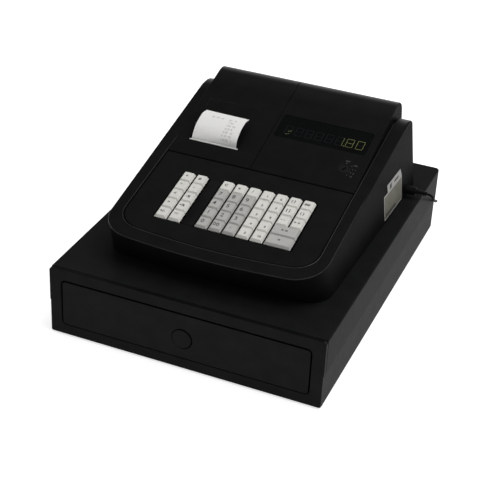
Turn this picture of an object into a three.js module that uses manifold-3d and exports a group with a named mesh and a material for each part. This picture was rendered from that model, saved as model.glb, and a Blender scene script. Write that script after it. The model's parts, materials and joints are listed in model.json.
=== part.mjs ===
// Electronic ticket register standing on its cash drawer cabinet.
// Millimetres, +Z up. The origin is the centre of the cabinet's footprint on the floor,
// the drawer opens toward -Y and the display reads from the same side.

import * as THREE from "three";
import { mergeVertices } from "three/addons/utils/BufferGeometryUtils.js";
import Module from "manifold-3d";

const wasm = await Module();
wasm.setup();

// Driving sizes of the cabinet
const cabinet_width = 330;
const cabinet_depth = 436;
const cabinet_height = 85;
const foot_height = 2;
const foot_radius = 9;
const foot_inset = 30;
const cabinet_wall = 2.5;
const cabinet_corner = 5;
const parting_height = 42;
const parting_step = 0.8;
const frame_thickness = 5;
const frame_corner = 3.5;
const frame_groove = 0.9;
const border_side = 14.7;
const border_top = 13;
const border_bottom = 12.6;
const opening_corner = 5.8;
const rail_width = 8;
const rail_spacing = 240;

// Driving sizes of the drawer and its till
const drawer_gap = 1.7;
const drawer_bottom_gap = 0.8;
const drawer_front_thickness = 3.4;
const tray_inset = 4.5;
const tray_wall = 2.2;
const tray_depth = 398;
const tray_top_margin = 7;
const lock_radius = 12.8;
const lock_drop = 3.6;
const lock_depth = 2.4;
const lock_disc_radius = 11.8;
const lock_disc_recess = 0.4;
const lock_disc_shift = -0.6;
const till_wall = 2.2;
const till_height = 38;
const till_depth = 318;
const coin_cup_length = 92;
const coin_cup_count = 5;
const bill_bay_count = 4;
const cup_scoop_radius = 34;

// Driving sizes of the register's outer case
const register_shift = 6;
const case_wall = 2.5;
const foot_front_y = 56.4;
const foot_front_half = 133.5;
const foot_front_radius = 30;
const foot_bow = 4.1;
const foot_rear_y = 396;
const foot_rear_half = 141;
const case_rear_radius = 22;
const rim_height = 38.6;
const rim_front_y = 33.4;
const rim_front_radius = 40;
const rim_bow = 5;
const side_lean = 0.045;
const rear_lean = 0.243;
const cheek_round = 40;
const case_top = 130;
const rear_lip_height = 78;

// Driving sizes of the sloping top and its panels
const seam_y = 193;
const seam_height = 71.7;
const keyboard_tilt = THREE.MathUtils.degToRad(11.72);
const hood_tilt = THREE.MathUtils.degToRad(16.99);
const panel_half_width = 118.1;
const panel_front = 145.5;
const panel_bow = 5;
const panel_corner = 30;
const panel_gap = 0.7;
const panel_thickness = 2.4;
const panel_drop = 0.3;
const ledge_width = 4;
const ledge_thickness = 2.5;
const hood_wall = 2.4;
const hood_ridge_radius = 23.3;
const hood_side_gap = 1.4;
const cover_split_x = -11.9;
const cover_split_gap = 0.6;

// Driving sizes of the keyboard
const key_pitch = 16.6;
const first_column_x = -72.7;
const rear_row_s = 41.3;
const key_width = 15.3;
const key_length = 15.9;
const key_height = 3.5;
const key_skirt_height = 0.4;
const key_sink = 3.6;
const key_side_chamfer = 2.4;
const key_front_chamfer = 2.2;
const key_rear_chamfer = 0.7;
const key_corner = 0.6;
const key_stem = 5;
const key_stem_length = 8.6;
const key_travel = 3;
const well_margin = 0.8;
const well_wall = 1.6;
const well_depth = 11;
const guide_thickness = 2;

// Driving sizes of the printer side
const recess_margin = 11.5;
const recess_width = 68.7;
const recess_slant = 5.7;
const recess_front = 27;
const recess_rear = 101.7;
const recess_depth = 5;
const slot_margin = 2;
const slot_length = 3.2;
const recess_floor = 2;
const paper_margin = 8.5;
const paper_width = 58;
const paper_thickness = 0.35;
const paper_tail = 5;
const paper_offset = 1.1;
const curl_reach = 43.5;
const roll_radius = 30;
const roll_core_radius = 8.5;
const roll_y = 300;
const roll_height = 49;
const roll_side_gap = 0.8;
const bay_margin = 5.1;
const bay_width = 98;
const bay_front_y = 199;
const bay_rear_y = 362;
const bay_height = 51;
const bay_wall = 2.2;

// Driving sizes of the display side
const window_margin = 10.3;
const window_length = 114.9;
const window_front = 63.2;
const window_rear = 102.3;
const window_corner = 3;
const window_thickness = 1.6;
const window_border = 3;
const window_recess = 0.4;
const switch_margin = 25.6;
const switch_s = 35.2;
const switch_radius = 6.9;
const switch_depth = 9;
const switch_boss = 2;
const key_slot_length = 6.2;
const key_slot_width = 1.9;
const key_slot_depth = 3;
const switch_rest_turn = THREE.MathUtils.degToRad(58);

// Driving sizes of the base pan
const pan_thickness = 2.4;
const pan_rim_height = 7.5;

// Driving sizes of the power lead
const socket_y = 340;
const socket_height = 11;
const plug_pin_radius = 2.75;
const plug_pin_length = 9;
const plug_body_radius = 5.3;
const plug_body_length = 14;
const plug_boot_radius = 3.5;
const plug_boot_length = 14;
const plug_boot_ribs = 4;
const rib_depth = 0.7;
const socket_clearance = 1.2;
const cord_diameter = 3;
const coil_mid_diameter = 36;
const coil_turns_inward = 5;
const coil_turns_climbing = 0.5;
const coil_turns_outward = 5.5;
const coil_spacing = 0.5;
const coil_centre_x = 96;
const coil_centre_y = 271;
const coil_tail = 14;
const adaptor_length = 62;
const adaptor_width = 42;
const adaptor_height = 30;
const adaptor_corner = 4;
const adaptor_pin_radius = 2;
const adaptor_pin_length = 18;
const adaptor_pin_spacing = 19;
const adaptor_gland_radius = 3.2;
const adaptor_gland_length = 18;

// Clearances and working values that several pieces share
const seat_gap = 0.3;
const touch_gap = 0.3;
const plug_seat = 0.1;
const merge_distance = 0.01;
const slide_gap = 0.35;
const overrun = 5;
const circle_kappa = 0.5523;
const corner_steps = 8;
const case_corner_steps = 12;
const small_corner_steps = 4;
const round_steps = 28;

// Places that follow from the sizes above
const window_right = panel_half_width - window_margin;
const window_left = window_right - window_length;
const switch_x = panel_half_width - switch_margin;
const recess_left = -panel_half_width + recess_margin;
const recess_right = recess_left + recess_width;
const paper_left = recess_left + paper_margin;
const slot_left = paper_left - slot_margin;
const slot_right = paper_left + paper_width + slot_margin;
const bay_left = -panel_half_width + bay_margin;
const bay_right = bay_left + bay_width;
const cabinet_top = foot_height + cabinet_height;
const case_front_step = cabinet_depth / 2;
const quarter_turn = Math.PI / 2;

// Closed meshes become solids that can be joined and cut
function solid(geometry) {
  const bare = geometry.clone();
  bare.deleteAttribute("normal");
  bare.deleteAttribute("uv");
  const merged = mergeVertices(bare, 1e-5);
  return new wasm.Manifold(new wasm.Mesh({
    numProp: 3,
    vertProperties: new Float32Array(merged.attributes.position.array),
    triVerts: new Uint32Array(merged.index.array),
  }));
}

function geometryOf(manifold) {
  const mesh = manifold.getMesh();
  const geometry = new THREE.BufferGeometry();
  geometry.setAttribute("position", new THREE.BufferAttribute(mesh.vertProperties, 3));
  geometry.setIndex(new THREE.BufferAttribute(mesh.triVerts, 1));
  geometry.computeVertexNormals();
  return geometry;
}

// Straight solids: across the width, up from a plan, and boxes between two corners
function extrudeUp(shape, low, high, steps = corner_steps) {
  const geometry = new THREE.ExtrudeGeometry(shape, {
    depth: high - low, bevelEnabled: false, curveSegments: steps });
  geometry.translate(0, 0, low);
  return solid(geometry);
}

function extrudeAcross(shape, left, right, steps = corner_steps) {
  const geometry = new THREE.ExtrudeGeometry(shape, {
    depth: right - left, bevelEnabled: false, curveSegments: steps });
  geometry.rotateX(quarter_turn);
  geometry.rotateZ(quarter_turn);
  geometry.translate(left, 0, 0);
  return solid(geometry);
}

function extrudeBack(shape, front, back, steps = corner_steps) {
  const geometry = new THREE.ExtrudeGeometry(shape, {
    depth: back - front, bevelEnabled: false, curveSegments: steps });
  geometry.rotateX(quarter_turn);
  geometry.translate(0, back, 0);
  return solid(geometry);
}

function block(x0, y0, z0, x1, y1, z1) {
  const geometry = new THREE.BoxGeometry(x1 - x0, y1 - y0, z1 - z0);
  geometry.translate((x0 + x1) / 2, (y0 + y1) / 2, (z0 + z1) / 2);
  return solid(geometry);
}

function rodAcross(left, right, y, z, radius, steps = round_steps) {
  const geometry = new THREE.CylinderGeometry(radius, radius, right - left, steps);
  geometry.rotateZ(quarter_turn);
  geometry.translate((left + right) / 2, y, z);
  return solid(geometry);
}

function post(x, y, low, high, radius, steps = round_steps) {
  const geometry = new THREE.CylinderGeometry(radius, radius, high - low, steps);
  geometry.rotateX(quarter_turn);
  geometry.translate(x, y, (low + high) / 2);
  return solid(geometry);
}

function placed(manifold, matrix) {
  return manifold.transform(matrix.elements);
}

// Rounds the corner of an outline that comes from one point and leaves for another
function roundCorner(shape, corner, from, to, radius) {
  const back = new THREE.Vector2().subVectors(from, corner).normalize();
  const on = new THREE.Vector2().subVectors(to, corner).normalize();
  const handle = radius * (1 - circle_kappa);
  const start = corner.clone().addScaledVector(back, radius);
  const first = corner.clone().addScaledVector(back, handle);
  const second = corner.clone().addScaledVector(on, handle);
  const end = corner.clone().addScaledVector(on, radius);
  shape.lineTo(start.x, start.y);
  shape.bezierCurveTo(first.x, first.y, second.x, second.y, end.x, end.y);
}

function roundedRectangle(x0, y0, x1, y1, radius) {
  const shape = new THREE.Shape();
  const corners = [[x1, y0], [x1, y1], [x0, y1], [x0, y0]].map(([x, y]) => new THREE.Vector2(x, y));
  shape.moveTo(x0 + radius, y0);
  corners.forEach((corner, i) => {
    roundCorner(shape, corner, corners[(i + 3) % 4], corners[(i + 1) % 4], radius);
  });
  return shape;
}

function polygon(points) {
  return new THREE.Shape(points.map(([x, y]) => new THREE.Vector2(x, y)));
}

// Skins two outlines with the same number of points, one above the other
function loft(lower, upper, low, high) {
  const count = lower.length;
  const positions = [];
  lower.forEach((point) => positions.push(point.x, point.y, low));
  upper.forEach((point) => positions.push(point.x, point.y, high));
  const faces = [];
  for (let i = 0; i < count; i += 1) {
    const next = (i + 1) % count;
    faces.push(i, next, count + next, i, count + next, count + i);
  }
  THREE.ShapeUtils.triangulateShape(lower, []).forEach(([a, b, c]) => faces.push(a, c, b));
  THREE.ShapeUtils.triangulateShape(upper, []).forEach(([a, b, c]) => {
    faces.push(count + a, count + b, count + c);
  });
  const geometry = new THREE.BufferGeometry();
  geometry.setAttribute("position", new THREE.Float32BufferAttribute(positions, 3));
  geometry.setIndex(faces);
  return solid(geometry);
}

// Outline with a bowed front edge, rounded corners and a straight rear edge
function bowedOutline(front, front_half, rear, rear_half, front_radius, rear_radius, bow) {
  const shape = new THREE.Shape();
  const left = new THREE.Vector2(-front_half, front + bow);
  const right = new THREE.Vector2(front_half, front + bow);
  const rear_left = new THREE.Vector2(-rear_half, rear);
  const rear_right = new THREE.Vector2(rear_half, rear);
  shape.moveTo(-front_half + front_radius, front + bow);
  shape.quadraticCurveTo(0, front - bow, front_half - front_radius, front + bow);
  roundCorner(shape, right, left, rear_right, front_radius);
  if (rear_radius > 0) {
    roundCorner(shape, rear_right, right, rear_left, rear_radius);
    roundCorner(shape, rear_left, rear_right, left, rear_radius);
  } else {
    shape.lineTo(rear_half, rear);
    shape.lineTo(-rear_half, rear);
  }
  roundCorner(shape, left, rear_left, right, front_radius);
  return shape;
}

// The register's side profile: straight along the sloping top, falling away at the rear
const slopeHeight = (y) => seam_height + (y - seam_y) * Math.tan(keyboard_tilt);
const rearFaceY = (height) => foot_rear_y - rear_lean * height;

function crossing(tilt) {
  const rise = Math.tan(tilt);
  const height = (seam_height + (foot_rear_y - seam_y) * rise) / (1 + rear_lean * rise);
  return new THREE.Vector2(rearFaceY(height), height);
}

// Half the width of the case at one depth and height; its sides flare toward the rear
const side_flare = (foot_rear_half - foot_front_half) / (foot_rear_y - foot_front_y);
const caseHalf = (y, height) => (
  foot_front_half + (y - foot_front_y) * side_flare - side_lean * height);

// Outline of the case in plan at one height, drawn in by an inset
function caseOutline(height, inset) {
  const share = height / rim_height;
  const front = foot_front_y + (rim_front_y - foot_front_y) * share + inset;
  const bow = foot_bow + (rim_bow - foot_bow) * share;
  const radius = foot_front_radius + (rim_front_radius - foot_front_radius) * share;
  const rear = rearFaceY(height) - inset;
  const half = (y) => caseHalf(y, height) - inset;
  const shape = bowedOutline(front, half(front), rear, half(rear),
    radius - inset, case_rear_radius - inset, bow);
  const points = shape.getPoints(case_corner_steps);
  return points.filter((point, i) => (
    point.distanceTo(points[(i + points.length - 1) % points.length]) > merge_distance));
}

// Side profile of the case; drop lowers its top and inset draws its rear in
function caseProfile(drop, inset) {
  const shape = new THREE.Shape();
  const far_front = -cabinet_depth;
  const top = crossing(keyboard_tilt);
  const slope_start = new THREE.Vector2(far_front, slopeHeight(far_front) - drop);
  const corner = new THREE.Vector2(top.x - inset, top.y - drop);
  const rear_foot = new THREE.Vector2(rearFaceY(-overrun) - inset, -overrun);
  shape.moveTo(far_front, -cabinet_depth);
  shape.lineTo(slope_start.x, slope_start.y);
  roundCorner(shape, corner, slope_start, rear_foot, cheek_round - inset);
  shape.lineTo(rear_foot.x, rear_foot.y);
  shape.lineTo(rear_foot.x, -cabinet_depth);
  return shape;
}

function caseBody(low, inset, drop) {
  const skin = loft(caseOutline(low, inset), caseOutline(case_top, inset), low, case_top);
  const profile = extrudeAcross(caseProfile(drop, inset), -cabinet_width, cabinet_width);
  return skin.intersect(profile);
}

// Plan of the opening for the panels, measured along the sloping top from the seam
function panelOutline(inset, rear) {
  return bowedOutline(-panel_front + inset, panel_half_width - inset, rear,
    panel_half_width - inset, panel_corner - inset, 0, panel_bow);
}

const seam = new THREE.Matrix4().makeTranslation(0, seam_y, seam_height);
const keyboardPlane = seam.clone().multiply(new THREE.Matrix4().makeRotationX(keyboard_tilt));
const hoodPlane = seam.clone().multiply(new THREE.Matrix4().makeRotationX(hood_tilt));
const ledge_depth = panel_drop + panel_thickness + seat_gap;

// Cabinet base: floor, lower walls, feet, rails and the frame round the drawer
const frame_low = foot_height;
const opening_low = foot_height + border_bottom;
const opening_high = cabinet_top - border_top;
const opening_half = cabinet_width / 2 - border_side;
const tray_floor_z = opening_low + tray_inset;
const rail_top = tray_floor_z - slide_gap;

function drawerFrame() {
  const half = cabinet_width / 2;
  const step_half = half - parting_step;
  const parting_z = frame_low + parting_height;
  const shape = roundedRectangle(-half, frame_low, half, cabinet_top, frame_corner);
  const hole = roundedRectangle(-opening_half, opening_low, opening_half, opening_high, opening_corner);
  shape.holes.push(hole);
  const plate = extrudeBack(shape, 0, frame_thickness, small_corner_steps);
  const trim = (side) => block(
    side > 0 ? step_half : -half - overrun, -overrun, frame_low - overrun,
    side > 0 ? half + overrun : -step_half, frame_thickness + overrun, parting_z);
  return plate.subtract(trim(1)).subtract(trim(-1));
}

function cabinetBase() {
  const half = cabinet_width / 2 - parting_step;
  const rear = cabinet_depth - parting_step;
  const floor_top = foot_height + cabinet_wall;
  const wall_front = frame_thickness - touch_gap;
  const wall_top = foot_height + parting_height;
  const inner_corner = cabinet_corner - cabinet_wall;
  const outer = extrudeUp(
    roundedRectangle(-half, wall_front - cabinet_corner * 2, half, rear, cabinet_corner),
    foot_height, wall_top, small_corner_steps);
  const hollow = extrudeUp(
    roundedRectangle(-half + cabinet_wall, -cabinet_depth / 2, half - cabinet_wall,
      rear - cabinet_wall, inner_corner),
    floor_top, wall_top + overrun, small_corner_steps);
  const trim = block(-cabinet_width, -cabinet_depth, -overrun, cabinet_width, wall_front, cabinet_top);
  let base = outer.subtract(hollow).subtract(trim).add(drawerFrame());
  const rail_end = frame_thickness + tray_depth;
  [-1, 1].forEach((side) => {
    const x = side * rail_spacing / 2;
    base = base.add(block(x - rail_width / 2, wall_front, floor_top - touch_gap,
      x + rail_width / 2, rail_end, rail_top));
    [foot_inset, cabinet_depth - foot_inset].forEach((y) => {
      base = base.add(post(side * (half - foot_inset), y, 0, foot_height + touch_gap, foot_radius));
    });
  });
  return base;
}

// Cabinet cover: top plate with the upper walls, open at the front
function cabinetCover() {
  const half = cabinet_width / 2;
  const front = frame_thickness + frame_groove;
  const low = foot_height + parting_height + seat_gap;
  const outer = extrudeUp(
    roundedRectangle(-half, front - cabinet_corner * 2, half, cabinet_depth, cabinet_corner),
    low, cabinet_top, small_corner_steps);
  const hollow = extrudeUp(
    roundedRectangle(-half + cabinet_wall, -cabinet_depth / 2, half - cabinet_wall,
      cabinet_depth - cabinet_wall, cabinet_corner - cabinet_wall),
    low - overrun, cabinet_top - cabinet_wall, small_corner_steps);
  const trim = block(-cabinet_width, -cabinet_depth, 0, cabinet_width, front, cabinet_top + overrun);
  return outer.subtract(hollow).subtract(trim);
}

// Drawer: front panel with its blanked lock hole, moulded in one with the tray
const tray_half = opening_half - tray_inset;
const tray_top = opening_high - tray_top_margin;

function drawerMoulding() {
  const panel = extrudeBack(roundedRectangle(
    -opening_half + drawer_gap, opening_low + drawer_bottom_gap,
    opening_half - drawer_gap, opening_high - drawer_gap, opening_corner - drawer_gap),
  0, drawer_front_thickness, small_corner_steps);
  const tray = block(-tray_half, drawer_front_thickness - touch_gap, tray_floor_z,
    tray_half, tray_depth, tray_top);
  const hollow = block(-tray_half + tray_wall, drawer_front_thickness + tray_wall,
    tray_floor_z + tray_wall, tray_half - tray_wall, tray_depth - tray_wall, tray_top + overrun);
  const lock_z = (opening_low + opening_high) / 2 - lock_drop;
  const round = (radius, front, back, shift) => {
    const geometry = new THREE.CylinderGeometry(radius, radius, back - front, round_steps);
    geometry.translate(shift, (front + back) / 2, lock_z + shift);
    return solid(geometry);
  };
  const hole = round(lock_radius, -overrun, lock_depth, 0);
  const disc = round(lock_disc_radius, lock_disc_recess, lock_depth + overrun, lock_disc_shift);
  return panel.add(tray).subtract(hollow).subtract(hole.subtract(disc));
}

// Till: a row of scooped coin cups at the front and bill bays behind them
const till_low = tray_floor_z + tray_wall + seat_gap;
const till_front = drawer_front_thickness + tray_wall + slide_gap;
const till_half = tray_half - tray_wall - slide_gap;

function coinCup(x0, x1, y0, y1) {
  const low = till_low + till_wall;
  const high = till_low + till_height + overrun;
  const shape = new THREE.Shape();
  shape.moveTo(y0, high);
  shape.lineTo(y0, low + cup_scoop_radius - till_wall);
  shape.quadraticCurveTo(y0, low, y0 + cup_scoop_radius, low);
  shape.lineTo(y1 - cup_scoop_radius, low);
  shape.quadraticCurveTo(y1, low, y1, low + cup_scoop_radius - till_wall);
  shape.lineTo(y1, high);
  return extrudeAcross(shape, x0, x1);
}

function cupRow(count) {
  const width = (2 * till_half - (count + 1) * till_wall) / count;
  return Array.from({ length: count }, (_, i) => {
    const x0 = -till_half + till_wall + i * (width + till_wall);
    return [x0, x0 + width];
  });
}

function tillInsert() {
  const rear = till_front + till_depth;
  const coin_rear = till_front + till_wall + coin_cup_length;
  let till = block(-till_half, till_front, till_low, till_half, rear, till_low + till_height);
  cupRow(coin_cup_count).forEach(([x0, x1]) => {
    till = till.subtract(coinCup(x0, x1, till_front + till_wall, coin_rear));
  });
  cupRow(bill_bay_count).forEach(([x0, x1]) => {
    till = till.subtract(block(x0, coin_rear + till_wall, till_low + till_wall,
      x1, rear - till_wall, till_low + till_height + overrun));
  });
  return till;
}

// Register case: walls, sloping rim and a ledge that carries the panels
function upperCase() {
  const ledge_drop = (ledge_depth + ledge_thickness) / Math.cos(keyboard_tilt);
  let shell = caseBody(seat_gap, 0, 0).subtract(caseBody(-overrun, case_wall, ledge_drop));
  const opening = extrudeUp(panelOutline(0, cabinet_depth), -ledge_depth, cabinet_top,
    case_corner_steps);
  const inner = extrudeUp(panelOutline(ledge_width, cabinet_depth),
    -ledge_depth - ledge_thickness * 2, cabinet_top);
  shell = shell.subtract(placed(opening, keyboardPlane)).subtract(placed(inner, keyboardPlane));
  shell = shell.subtract(block(-panel_half_width, crossing(keyboard_tilt).x - cheek_round,
    rear_lip_height, panel_half_width, cabinet_depth, cabinet_top + cabinet_height));
  shell = shell.subtract(block(-panel_half_width + ledge_width, crossing(hood_tilt).x - cheek_round,
    rear_lip_height, panel_half_width - ledge_width, cabinet_depth, cabinet_top + cabinet_height));
  const socket = rodAcross(panel_half_width, cabinet_width / 2, socket_y, socket_height,
    plug_pin_radius + socket_clearance);
  return shell.subtract(socket);
}

// Base pan: floor of the register, with the paper bay and its trough moulded in
function basePan() {
  const inset = case_wall + seat_gap;
  const outline = (height) => caseOutline(height, inset);
  let pan = loft(outline(seat_gap), outline(pan_rim_height), seat_gap, pan_rim_height);
  const tub = (height) => caseOutline(height, inset + pan_thickness);
  pan = pan.subtract(loft(tub(seat_gap + pan_thickness), tub(pan_rim_height + overrun),
    seat_gap + pan_thickness, pan_rim_height + overrun));
  const floor = seat_gap + pan_thickness / 2;
  const bay = block(bay_left, bay_front_y, floor, bay_right, bay_rear_y, bay_height);
  const void_under = block(bay_left + bay_wall, bay_front_y - overrun, seat_gap + pan_thickness,
    bay_right - bay_wall, bay_rear_y + overrun, bay_height - bay_wall);
  const left = paper_left - roll_side_gap;
  const right = paper_left + paper_width + roll_side_gap;
  const trough = rodAcross(left - bay_wall, right + bay_wall, roll_y, roll_height,
    roll_radius + touch_gap + bay_wall);
  const roof = block(bay_left, bay_front_y, floor, bay_right, bay_rear_y, bay_height);
  const seat = rodAcross(left, right, roll_y, roll_height, roll_radius + touch_gap);
  return pan.add(bay.subtract(void_under).add(trough.intersect(roof))).subtract(seat);
}

// Keyboard panel: plate, key wells and the guide floor that the key stems pass through
const columnX = (column) => first_column_x + column * key_pitch;
const rowS = (row) => -(rear_row_s + row * key_pitch);

const key_rows = [
  ["left_1", "left_2", null, "clear", "multiply", "minus", "dept_1", "dept_6", "function_1", "function_2"],
  ["left_3", "left_4", null, "7", "8", "9", "dept_2", "dept_7", "function_3", "function_4"],
  ["left_5", "left_6", null, "4", "5", "6", "dept_3", "dept_8", "function_5", "function_6"],
  ["left_7", "left_8", null, "1", "2", "3", "dept_4", "dept_9", "subtotal", null],
  ["left_9", "left_10", null, "0", "00", "point", "dept_5", "dept_10", "cash", null],
];
const wide_keys = ["subtotal", "cash"];
const grey_keys = ["7", "8", "9", "4", "5", "6", "1", "2", "3", "0", "00", "point", "subtotal", "cash"];
const left_block_columns = [0, 1];
const right_block_columns = [3, 9];

const keys = key_rows.flatMap((names, row) => names.map((name, column) => {
  const wide = wide_keys.includes(name);
  return { name, wide, grey: grey_keys.includes(name),
    x: columnX(column) + (wide ? key_pitch / 2 : 0), s: rowS(row) };
})).filter((key) => key.name !== null);

function keyboardPanel() {
  const top = -panel_drop;
  const under = top - panel_thickness;
  let panel = extrudeUp(panelOutline(panel_gap, -panel_gap / 2), under, top, case_corner_steps);
  const low_s = rowS(key_rows.length - 1) - key_pitch / 2 - well_margin / 2;
  const high_s = rowS(0) + key_pitch / 2 + well_margin / 2;
  [left_block_columns, right_block_columns].forEach(([first, last]) => {
    const x0 = columnX(first) - key_pitch / 2 - well_margin / 2;
    const x1 = columnX(last) + key_pitch / 2 + well_margin / 2;
    panel = panel.add(block(x0 - well_wall, low_s - well_wall, -well_depth,
      x1 + well_wall, high_s + well_wall, top - panel_thickness / 2));
    panel = panel.subtract(block(x0, low_s, -well_depth + guide_thickness, x1, high_s, overrun));
  });
  const half_hole = key_stem / 2 + slide_gap;
  keys.forEach(({ x, s }) => {
    panel = panel.subtract(block(x - half_hole, s - half_hole, -well_depth - overrun,
      x + half_hole, s + half_hole, -well_depth + guide_thickness + overrun));
  });
  return panel;
}

// Key: skirt with cut corners, sloping flanks, flat top set back, and a guide stem
function keyCap(width) {
  const ring = (x0, y0, x1, y1, corner, height) => [
    [x0 + corner, y0], [x1 - corner, y0], [x1, y0 + corner], [x1, y1 - corner],
    [x1 - corner, y1], [x0 + corner, y1], [x0, y1 - corner], [x0, y0 + corner],
  ].map(([x, y]) => [x, y, height]);
  const w = width / 2;
  const l = key_length / 2;
  const rings = [
    ring(-w, -l, w, l, key_corner, -key_sink),
    ring(-w, -l, w, l, key_corner, key_skirt_height),
    ring(-w + key_side_chamfer, -l + key_front_chamfer, w - key_side_chamfer,
      l - key_rear_chamfer, key_corner, key_height),
  ];
  const count = rings[0].length;
  const faces = [];
  for (let level = 0; level < rings.length - 1; level += 1) {
    for (let i = 0; i < count; i += 1) {
      const a = level * count + i;
      const b = level * count + (i + 1) % count;
      faces.push(a, b, b + count, a, b + count, a + count);
    }
  }
  const top = (rings.length - 1) * count;
  for (let i = 1; i < count - 1; i += 1) {
    faces.push(0, i + 1, i, top, top + i, top + i + 1);
  }
  const geometry = new THREE.BufferGeometry();
  geometry.setAttribute("position", new THREE.Float32BufferAttribute(rings.flat(2), 3));
  geometry.setIndex(faces);
  const half = key_stem / 2;
  const stem = block(-half, -half, -key_sink - key_stem_length, half, half, -key_sink + touch_gap);
  return solid(geometry).add(stem);
}

// Hood: its side profile follows the steeper slope, rolls over the ridge and runs down the rear
function hoodProfile(inset, low_drop) {
  const shape = new THREE.Shape();
  const ridge = crossing(hood_tilt);
  const normal = new THREE.Vector2(-Math.sin(hood_tilt), Math.cos(hood_tilt));
  const rear_normal = new THREE.Vector2(1, rear_lean).normalize();
  const corner_shift = (point) => {
    const det = normal.x * rear_normal.y - normal.y * rear_normal.x;
    return new THREE.Vector2(
      point.x - inset * (rear_normal.y - normal.y) / det,
      point.y - inset * (normal.x - rear_normal.x) / det);
  };
  const corner = corner_shift(ridge);
  const front_y = seam_y + panel_gap / 2 + inset;
  const along = (y) => corner.y + (y - corner.x) * Math.tan(hood_tilt);
  const sill = (y) => slopeHeight(y) - (ledge_depth - seat_gap) / Math.cos(keyboard_tilt) - low_drop;
  const rear_low = rear_lip_height + panel_gap - low_drop;
  const rear_y = corner.x + rear_lean * (corner.y - rear_low);
  const step_y = crossing(keyboard_tilt).x - cheek_round + panel_gap - inset;
  const front = new THREE.Vector2(front_y, along(front_y));
  const rear = new THREE.Vector2(rear_y, rear_low);
  shape.moveTo(front_y, sill(front_y));
  shape.lineTo(front.x, front.y);
  roundCorner(shape, corner, front, rear, hood_ridge_radius + panel_gap - inset);
  shape.lineTo(rear.x, rear.y);
  shape.lineTo(step_y, rear_low);
  shape.lineTo(step_y, sill(step_y));
  return shape;
}

function hoodShell(left, right) {
  const outer = extrudeAcross(hoodProfile(0, 0), left, right);
  const inner = extrudeAcross(hoodProfile(hood_wall, overrun * 2), left + hood_wall, right - hood_wall);
  return outer.subtract(inner);
}

const cover_left = -panel_half_width + hood_side_gap;
const cover_right = panel_half_width - hood_side_gap;

// Printer cover: wedge recess behind the tear edge, with the paper slot at its foot
function printerCover() {
  let cover = hoodShell(cover_left, cover_split_x - cover_split_gap / 2);
  const wedge = (grow, depth) => extrudeAcross(polygon([
    [recess_front - grow, -depth],
    [recess_front - grow, overrun],
    [recess_rear + grow, overrun],
    [recess_rear + grow, grow > 0 ? -grow : 0],
  ]), recess_left - grow, recess_right + grow).intersect(extrudeUp(polygon([
    [recess_left + recess_slant - grow, recess_front - grow],
    [recess_right + grow, recess_front - grow],
    [recess_right + grow, recess_rear + grow],
    [recess_left - grow, recess_rear + grow],
  ]), -cabinet_top, cabinet_top));
  cover = cover.add(placed(wedge(hood_wall, recess_depth + recess_floor)
    .intersect(block(-cabinet_width, 0, -cabinet_top, 0, cabinet_depth, -hood_wall / 2)), hoodPlane));
  cover = cover.subtract(placed(wedge(0, recess_depth), hoodPlane));
  const slot = block(slot_left, recess_front, -recess_depth * 2 - overrun, slot_right,
    recess_front + slot_length, overrun);
  return cover.subtract(placed(slot, hoodPlane));
}

// Display cover: stepped window opening and the bored boss of the mode switch
function displayCover() {
  let cover = hoodShell(cover_split_x + cover_split_gap / 2, cover_right);
  const pocket_depth = window_recess + window_thickness + seat_gap;
  const pocket = extrudeUp(roundedRectangle(window_left, window_front, window_right, window_rear,
    window_corner), -pocket_depth, overrun, small_corner_steps);
  const floor = extrudeUp(roundedRectangle(
    window_left - window_border, window_front - window_border,
    window_right + window_border, window_rear + window_border, window_corner),
  -pocket_depth - hood_wall / 2, -hood_wall / 2, small_corner_steps);
  const through = extrudeUp(roundedRectangle(
    window_left + window_border, window_front + window_border,
    window_right - window_border, window_rear - window_border, window_corner),
  -cabinet_top / 2, overrun, small_corner_steps);
  const boss = post(switch_x, switch_s, -switch_depth, -hood_wall / 2, switch_radius + switch_boss);
  const bore = post(switch_x, switch_s, -switch_depth - overrun, overrun, switch_radius);
  cover = cover.add(placed(floor.add(boss), hoodPlane));
  return cover.subtract(placed(pocket.add(through).add(bore), hoodPlane));
}

function displayWindow() {
  return extrudeUp(roundedRectangle(
    window_left + seat_gap, window_front + seat_gap,
    window_right - seat_gap, window_rear - seat_gap, window_corner - seat_gap),
  -window_recess - window_thickness, -window_recess, small_corner_steps);
}

function modeSwitch() {
  const radius = switch_radius - slide_gap;
  const rotor = post(0, 0, -switch_depth, 0, radius);
  const slot = block(-key_slot_length / 2, -key_slot_width / 2, -key_slot_depth,
    key_slot_length / 2, key_slot_width / 2, overrun);
  return rotor.subtract(slot);
}

// Receipt: a thin strip that leaves the slot and curls back over the recess
const curl_shares = [
  { along: 0.024, up: 0.011 },
  { along: 0.095, up: 0.147 },
  { along: 0.24, up: 0.25 },
  { along: 0.425, up: 0.305 },
  { along: 0.61, up: 0.317 },
  { along: 0.79, up: 0.285 },
  { along: 1, up: 0.193 },
];

function receipt() {
  const route = curl_shares.map(({ along, up }) => (
    new THREE.Vector3(0, recess_front + along * curl_reach, up * curl_reach)));
  route.unshift(new THREE.Vector3(0, recess_front + paper_offset, -paper_tail));
  const spine = new THREE.CatmullRomCurve3(route);
  const steps = route.length * 2;
  const points = spine.getSpacedPoints(steps);
  const side = (point, i) => {
    const before = points[Math.max(i - 1, 0)];
    const after = points[Math.min(i + 1, steps)];
    const run = new THREE.Vector2(after.y - before.y, after.z - before.z).normalize();
    const half = paper_thickness / 2;
    return [[point.y - run.y * half, point.z + run.x * half],
      [point.y + run.y * half, point.z - run.x * half]];
  };
  const faces = points.map(side);
  const outline = polygon([...faces.map((pair) => pair[0]),
    ...faces.map((pair) => pair[1]).reverse()]);
  return extrudeAcross(outline, paper_left, paper_left + paper_width);
}

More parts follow.
